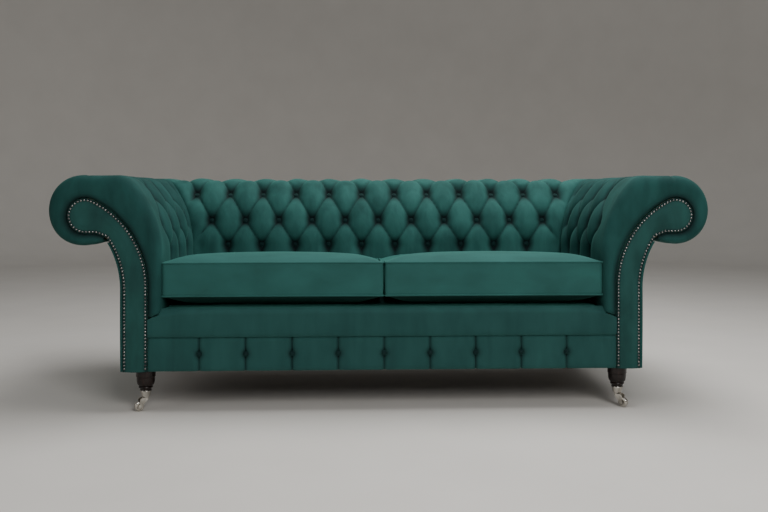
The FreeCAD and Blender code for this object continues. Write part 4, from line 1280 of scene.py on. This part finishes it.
def turned(profile, x, y, name, sides=64, sharp=None):
    """Profile of (radius, height) points carried round an upright axis at x, y."""
    profile = np.asarray(profile, float)
    angle = np.linspace(0, 2 * np.pi, sides, endpoint=False)
    grid = np.stack([x + profile[:, :1] * np.cos(angle), y + profile[:, :1] * np.sin(angle),
                     np.broadcast_to(profile[:, 1:], (len(profile), sides))], -1)
    return make(name, grid, cells(len(profile), sides, around_columns=True), sharp=sharp)


def front_leg_profile():
    """Radius and height down the leg, with half-round mouldings at the ring and the bead."""
    turn = np.linspace(0, np.pi / 2, 8)
    across, along = ring_ease * np.cos(turn), ring_ease * np.sin(turn)
    ring = np.column_stack([ring_radius + along, leg_seat - ring_ease + across])
    under = np.column_stack([ring_radius + across, ring_low + ring_ease - along])
    turn = np.linspace(0, np.pi / 2, 24)
    belly = np.column_stack([waist_radius + belly_swell * np.cos(turn) ** 0.8,
                             ring_low - 0.0008 - belly_drop * np.sin(turn) ** 0.9])
    turn = np.linspace(0, np.pi, 12)
    bead = np.column_stack([bead_radius + bead_swell * np.sin(turn), np.linspace(0.0805, 0.0725, 12)])
    foot = np.array([(0.0188, 0.0715), (0.0182, 0.0700), (0.0179, 0.0662)])
    top, end = [(0.0, leg_seat)], [(0.0150, cup_rim), (0.0, cup_rim)]
    return np.concatenate([top, ring, under, belly, bead, foot, end])


def rear_leg(x, y, name):
    """Square tapered leg with eased edges: a rounded square whose size follows the height."""
    angle = np.linspace(0, 2 * np.pi, 64, endpoint=False)
    size = (np.abs(np.cos(angle)) ** 14 + np.abs(np.sin(angle)) ** 14) ** (-1 / 14)
    square = np.column_stack([np.cos(angle), np.sin(angle)]) * size[:, None]
    levels = np.array([(0.0, 0.0), (0.0168, 0.0), (0.0180, 0.0012), (0.0181, 0.003), (0.0220, 0.067),
                       (0.0259, 0.1295), (0.0255, leg_seat), (0.0, leg_seat)])
    grid = np.stack([x + levels[:, :1] * square[:, 0], y + levels[:, :1] * square[:, 1],
                     np.broadcast_to(levels[:, 1:], (len(levels), 64))], -1)
    return make(name, grid, cells(len(levels), 64, around_columns=True), sharp=50)


rear_x = rear_high.x - 0.026
rear_y = rear_high.y - 0.026
for word, side in bodies.items():
    front = turned(front_leg_profile(), side * leg_x, leg_y, word + "_turned_leg")
    rear = rear_leg(side * rear_x, rear_y, word + "_rear_leg")
    shown = ("front_legs", "rear_legs") if side < 0 else ()
    finish_piece(front, "sofa", "polished_leg_wood", leg_wood, *shown[:1])
    finish_piece(rear, "sofa", "polished_leg_wood", leg_wood, *shown[1:])
print("legs at", round(leg_x, 3), round(leg_y, 3), "and", round(rear_x, 3), round(rear_y, 3))

# %% [markdown]
# Each castor has a spun cup with a rolled lip, a horn and a solid wheel. Cup and wheel are made anew with
# rounded edges; horn, axle and pivot are the model's own pieces with a plated finish.

# %% Castor cups and wheels
stem_radius = 0.0042
cup_floor = 0.0431
lip_round = 0.0013
wheel_half = 0.0070
tread_round = 0.0035
web_depth = 0.0012


def cup_profile():
    """Cup from its floor up the flared wall to a rolled lip, then down the inside of the lip."""
    turn = np.linspace(-1.2, np.pi + 0.5, 12)[:8]
    lip = np.column_stack([0.0180 + lip_round * np.cos(turn - np.pi / 2 + 1.2),
                           0.0652 + lip_round * np.sin(turn - 0.9)])
    share = np.linspace(0, 1, 12)
    wall = np.column_stack([0.0126 + 0.0052 * share ** 0.8, 0.0445 + 0.0193 * share])
    return np.concatenate([[(stem_radius, cup_floor), (0.0108, cup_floor), (0.0120, 0.0437)], wall, lip,
                           [(0.0150, cup_rim), (stem_radius, cup_rim), (stem_radius, cup_floor)]])


def wheel_profile(radius, half):
    """Wheel in section: hub, web, rounded tread, as (radius, across)."""
    turn = np.radians(np.linspace(-90, 0, 7))
    edge = np.column_stack([radius - tread_round + tread_round * np.cos(turn),
                            tread_round - half + tread_round * np.sin(turn)])
    web = web_depth - half
    hub = np.array([(0.0031, -half), (0.0062, -half), (0.0070, web),
                    (radius - 0.0072, web), (radius - 0.0062, -half)])
    one_side = np.concatenate([hub, edge, [(radius, -half * 0.3)]])
    return np.concatenate([one_side, one_side[::-1] * (1, -1), hub[:1]])


def wheel(word, name):
    """Wheel profile carried round its axle, which lies level and square to the castor's heading."""
    low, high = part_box(word + "_castor_wheel")
    joint = next(j for j in frame["joints"] if j["name"] == word + "_castor_roll")
    centre, axis = np.array(joint["pos_m"], float), np.array(joint["axis"], float)
    axis /= np.linalg.norm(axis)
    upward = np.array([0.0, 0.0, 1.0])
    across = np.cross(axis, upward)
    profile = wheel_profile((high.z - low.z) / 2, wheel_half)
    angle = np.linspace(0, 2 * np.pi, 56, endpoint=False)
    spoke = np.cos(angle)[:, None] * upward + np.sin(angle)[:, None] * across
    grid = centre + profile[:, None, :1] * spoke[None] + profile[:, None, 1:] * axis
    return make(name, grid, cells(len(profile), 56, around_columns=True), sharp=40)


for word, side in bodies.items():
    cup = turned(cup_profile(), side * leg_x, leg_y, word + "_castor_cup", 48, sharp=50)
    finish_piece(cup, "sofa", "castor_nickel", nickel, *(("castor_cups",) if side < 0 else ()))
    roller = wheel(word, word + "_castor_roller")
    finish_piece(roller, word + "_roller", "castor_nickel", nickel, word + "_castor_wheel")
print("castors", leg_low.z, cup_low.z)

# %% [markdown]
# The hidden structure stays as it was modelled: hardwood rails and boards, webbing, foam cores, plates and
# bolts. Only their finishes are set.

# %% Finishes of the model's own pieces
kept = {
    timber: ["front_rail", "rear_rail", "cross_rails", "corner_blocks", "left_back_post", "centre_back_post",
             "right_back_post", "back_roll_rail", "back_tack_rail"],
    jute: ["back_webbing", "seat_webbing_lengthwise", "seat_webbing_crosswise"],
    plate_paint: ["leg_plates"],
    bolt_zinc: ["leg_bolts"],
    nickel: ["castor_pintles"],
    foam_wrap: [],
}
for word in bodies:
    kept[timber] += [word + part for part in ("_side_rail", "_front_scroll_board", "_rear_scroll_board",
                                              "_arm_roll_rail", "_arm_tack_rail")]
    kept[jute].append(word + "_arm_webbing")
    kept[nickel] += [word + "_castor_horn", word + "_castor_axle"]
    kept[foam_wrap].append(word + "_cushion_core")
for material, names in kept.items():
    for node in names:
        slots = frame["nodes"][node].data.materials
        slots.clear()
        slots.append(material)
plain = [n for n, o in frame["nodes"].items() if not o.hide_render and n not in sum(kept.values(), [])]
print("nodes without a finish", plain)

# %% [markdown]
# The sofa stands on a plain pale floor that turns up far away, all round, so that no edge shows from any
# side. The camera stands where the photographer stood: its place, turn and focal length came from known
# points of the sofa.

# %% Floor and camera
def floor(radius=6.0, rise=1.6, wall=5.5):
    """Pale bowl: a level round floor that turns up in a quarter circle far from the sofa."""
    turn = np.linspace(0, np.pi / 2, 24)
    flat = np.column_stack([np.linspace(0, radius, 14), np.zeros(14)])
    bend = np.column_stack([radius + rise * np.sin(turn), rise * (1 - np.cos(turn))])
    return turned(np.concatenate([flat, bend[1:], [(radius + rise, wall)]]), 0.0, 0.0, "pale_floor", 96)


paint = Paint("pale floor", Roughness=0.75, Specular_IOR_Level=0.25)
grain = paint.noise(3.0, detail=3.0)
pale = paint.wear(Base_Color=paint.mixed(grain, colour(206, 202, 196), colour(216, 212, 206)))
ground = floor()
ground.data.materials.append(pale)

picture_width, picture_height = 768, 512
focal_length = 870.15
horizon = 191.8
camera_data = bpy.data.cameras.new("camera")
camera = bpy.data.objects.new("camera", camera_data)
bpy.context.scene.collection.objects.link(camera)
bpy.context.scene.camera = camera
camera_data.sensor_width = 36.0
camera_data.lens = camera_data.sensor_width * focal_length / picture_width
camera_data.shift_y = (horizon - picture_height / 2) / picture_width
camera.location = (-0.1092, -3.2575, 0.7037)
camera.rotation_euler = (np.pi / 2, 0, -0.03865)
print("lens", round(camera_data.lens, 2))

# %% [markdown]
# Soft studio light: a broad panel overhead that brightens the cushions and the rolls, a main light from the
# right and in front, a weaker one from the left, and a dim surround that keeps the dimples dark.

# %% Light
def panel(name, place, aim, size, power, tint=(1.0, 1.0, 1.0)):
    """Rectangular soft light that looks at a point."""
    data = bpy.data.lights.new(name, "AREA")
    data.shape = "RECTANGLE"
    data.size, data.size_y = size
    data.energy = power
    data.color = tint
    item = bpy.data.objects.new(name, data)
    bpy.context.scene.collection.objects.link(item)
    item.location = place
    away = np.array(aim, float) - np.array(place, float)
    level = np.hypot(away[0], away[1])
    item.rotation_euler = (np.arctan2(level, -away[2]), 0.0, np.arctan2(-away[0], away[1]))
    return item


panel("top light", (0.8, 0.2, 3.2), (0.2, -0.1, 0.4), (3.0, 1.8), 108)
panel("main light", (1.0, -3.8, 2.4), (0.0, 0.0, 0.45), (1.8, 1.8), 82)
panel("left light", (-3.6, -2.6, 1.8), (0.0, 0.0, 0.4), (1.6, 1.6), 16)
world = bpy.data.worlds.new("surround")
bpy.context.scene.world = world
world.use_nodes = True
world.node_tree.nodes["Background"].inputs["Color"].default_value = (0.80, 0.82, 0.84, 1.0)
world.node_tree.nodes["Background"].inputs["Strength"].default_value = 0.28
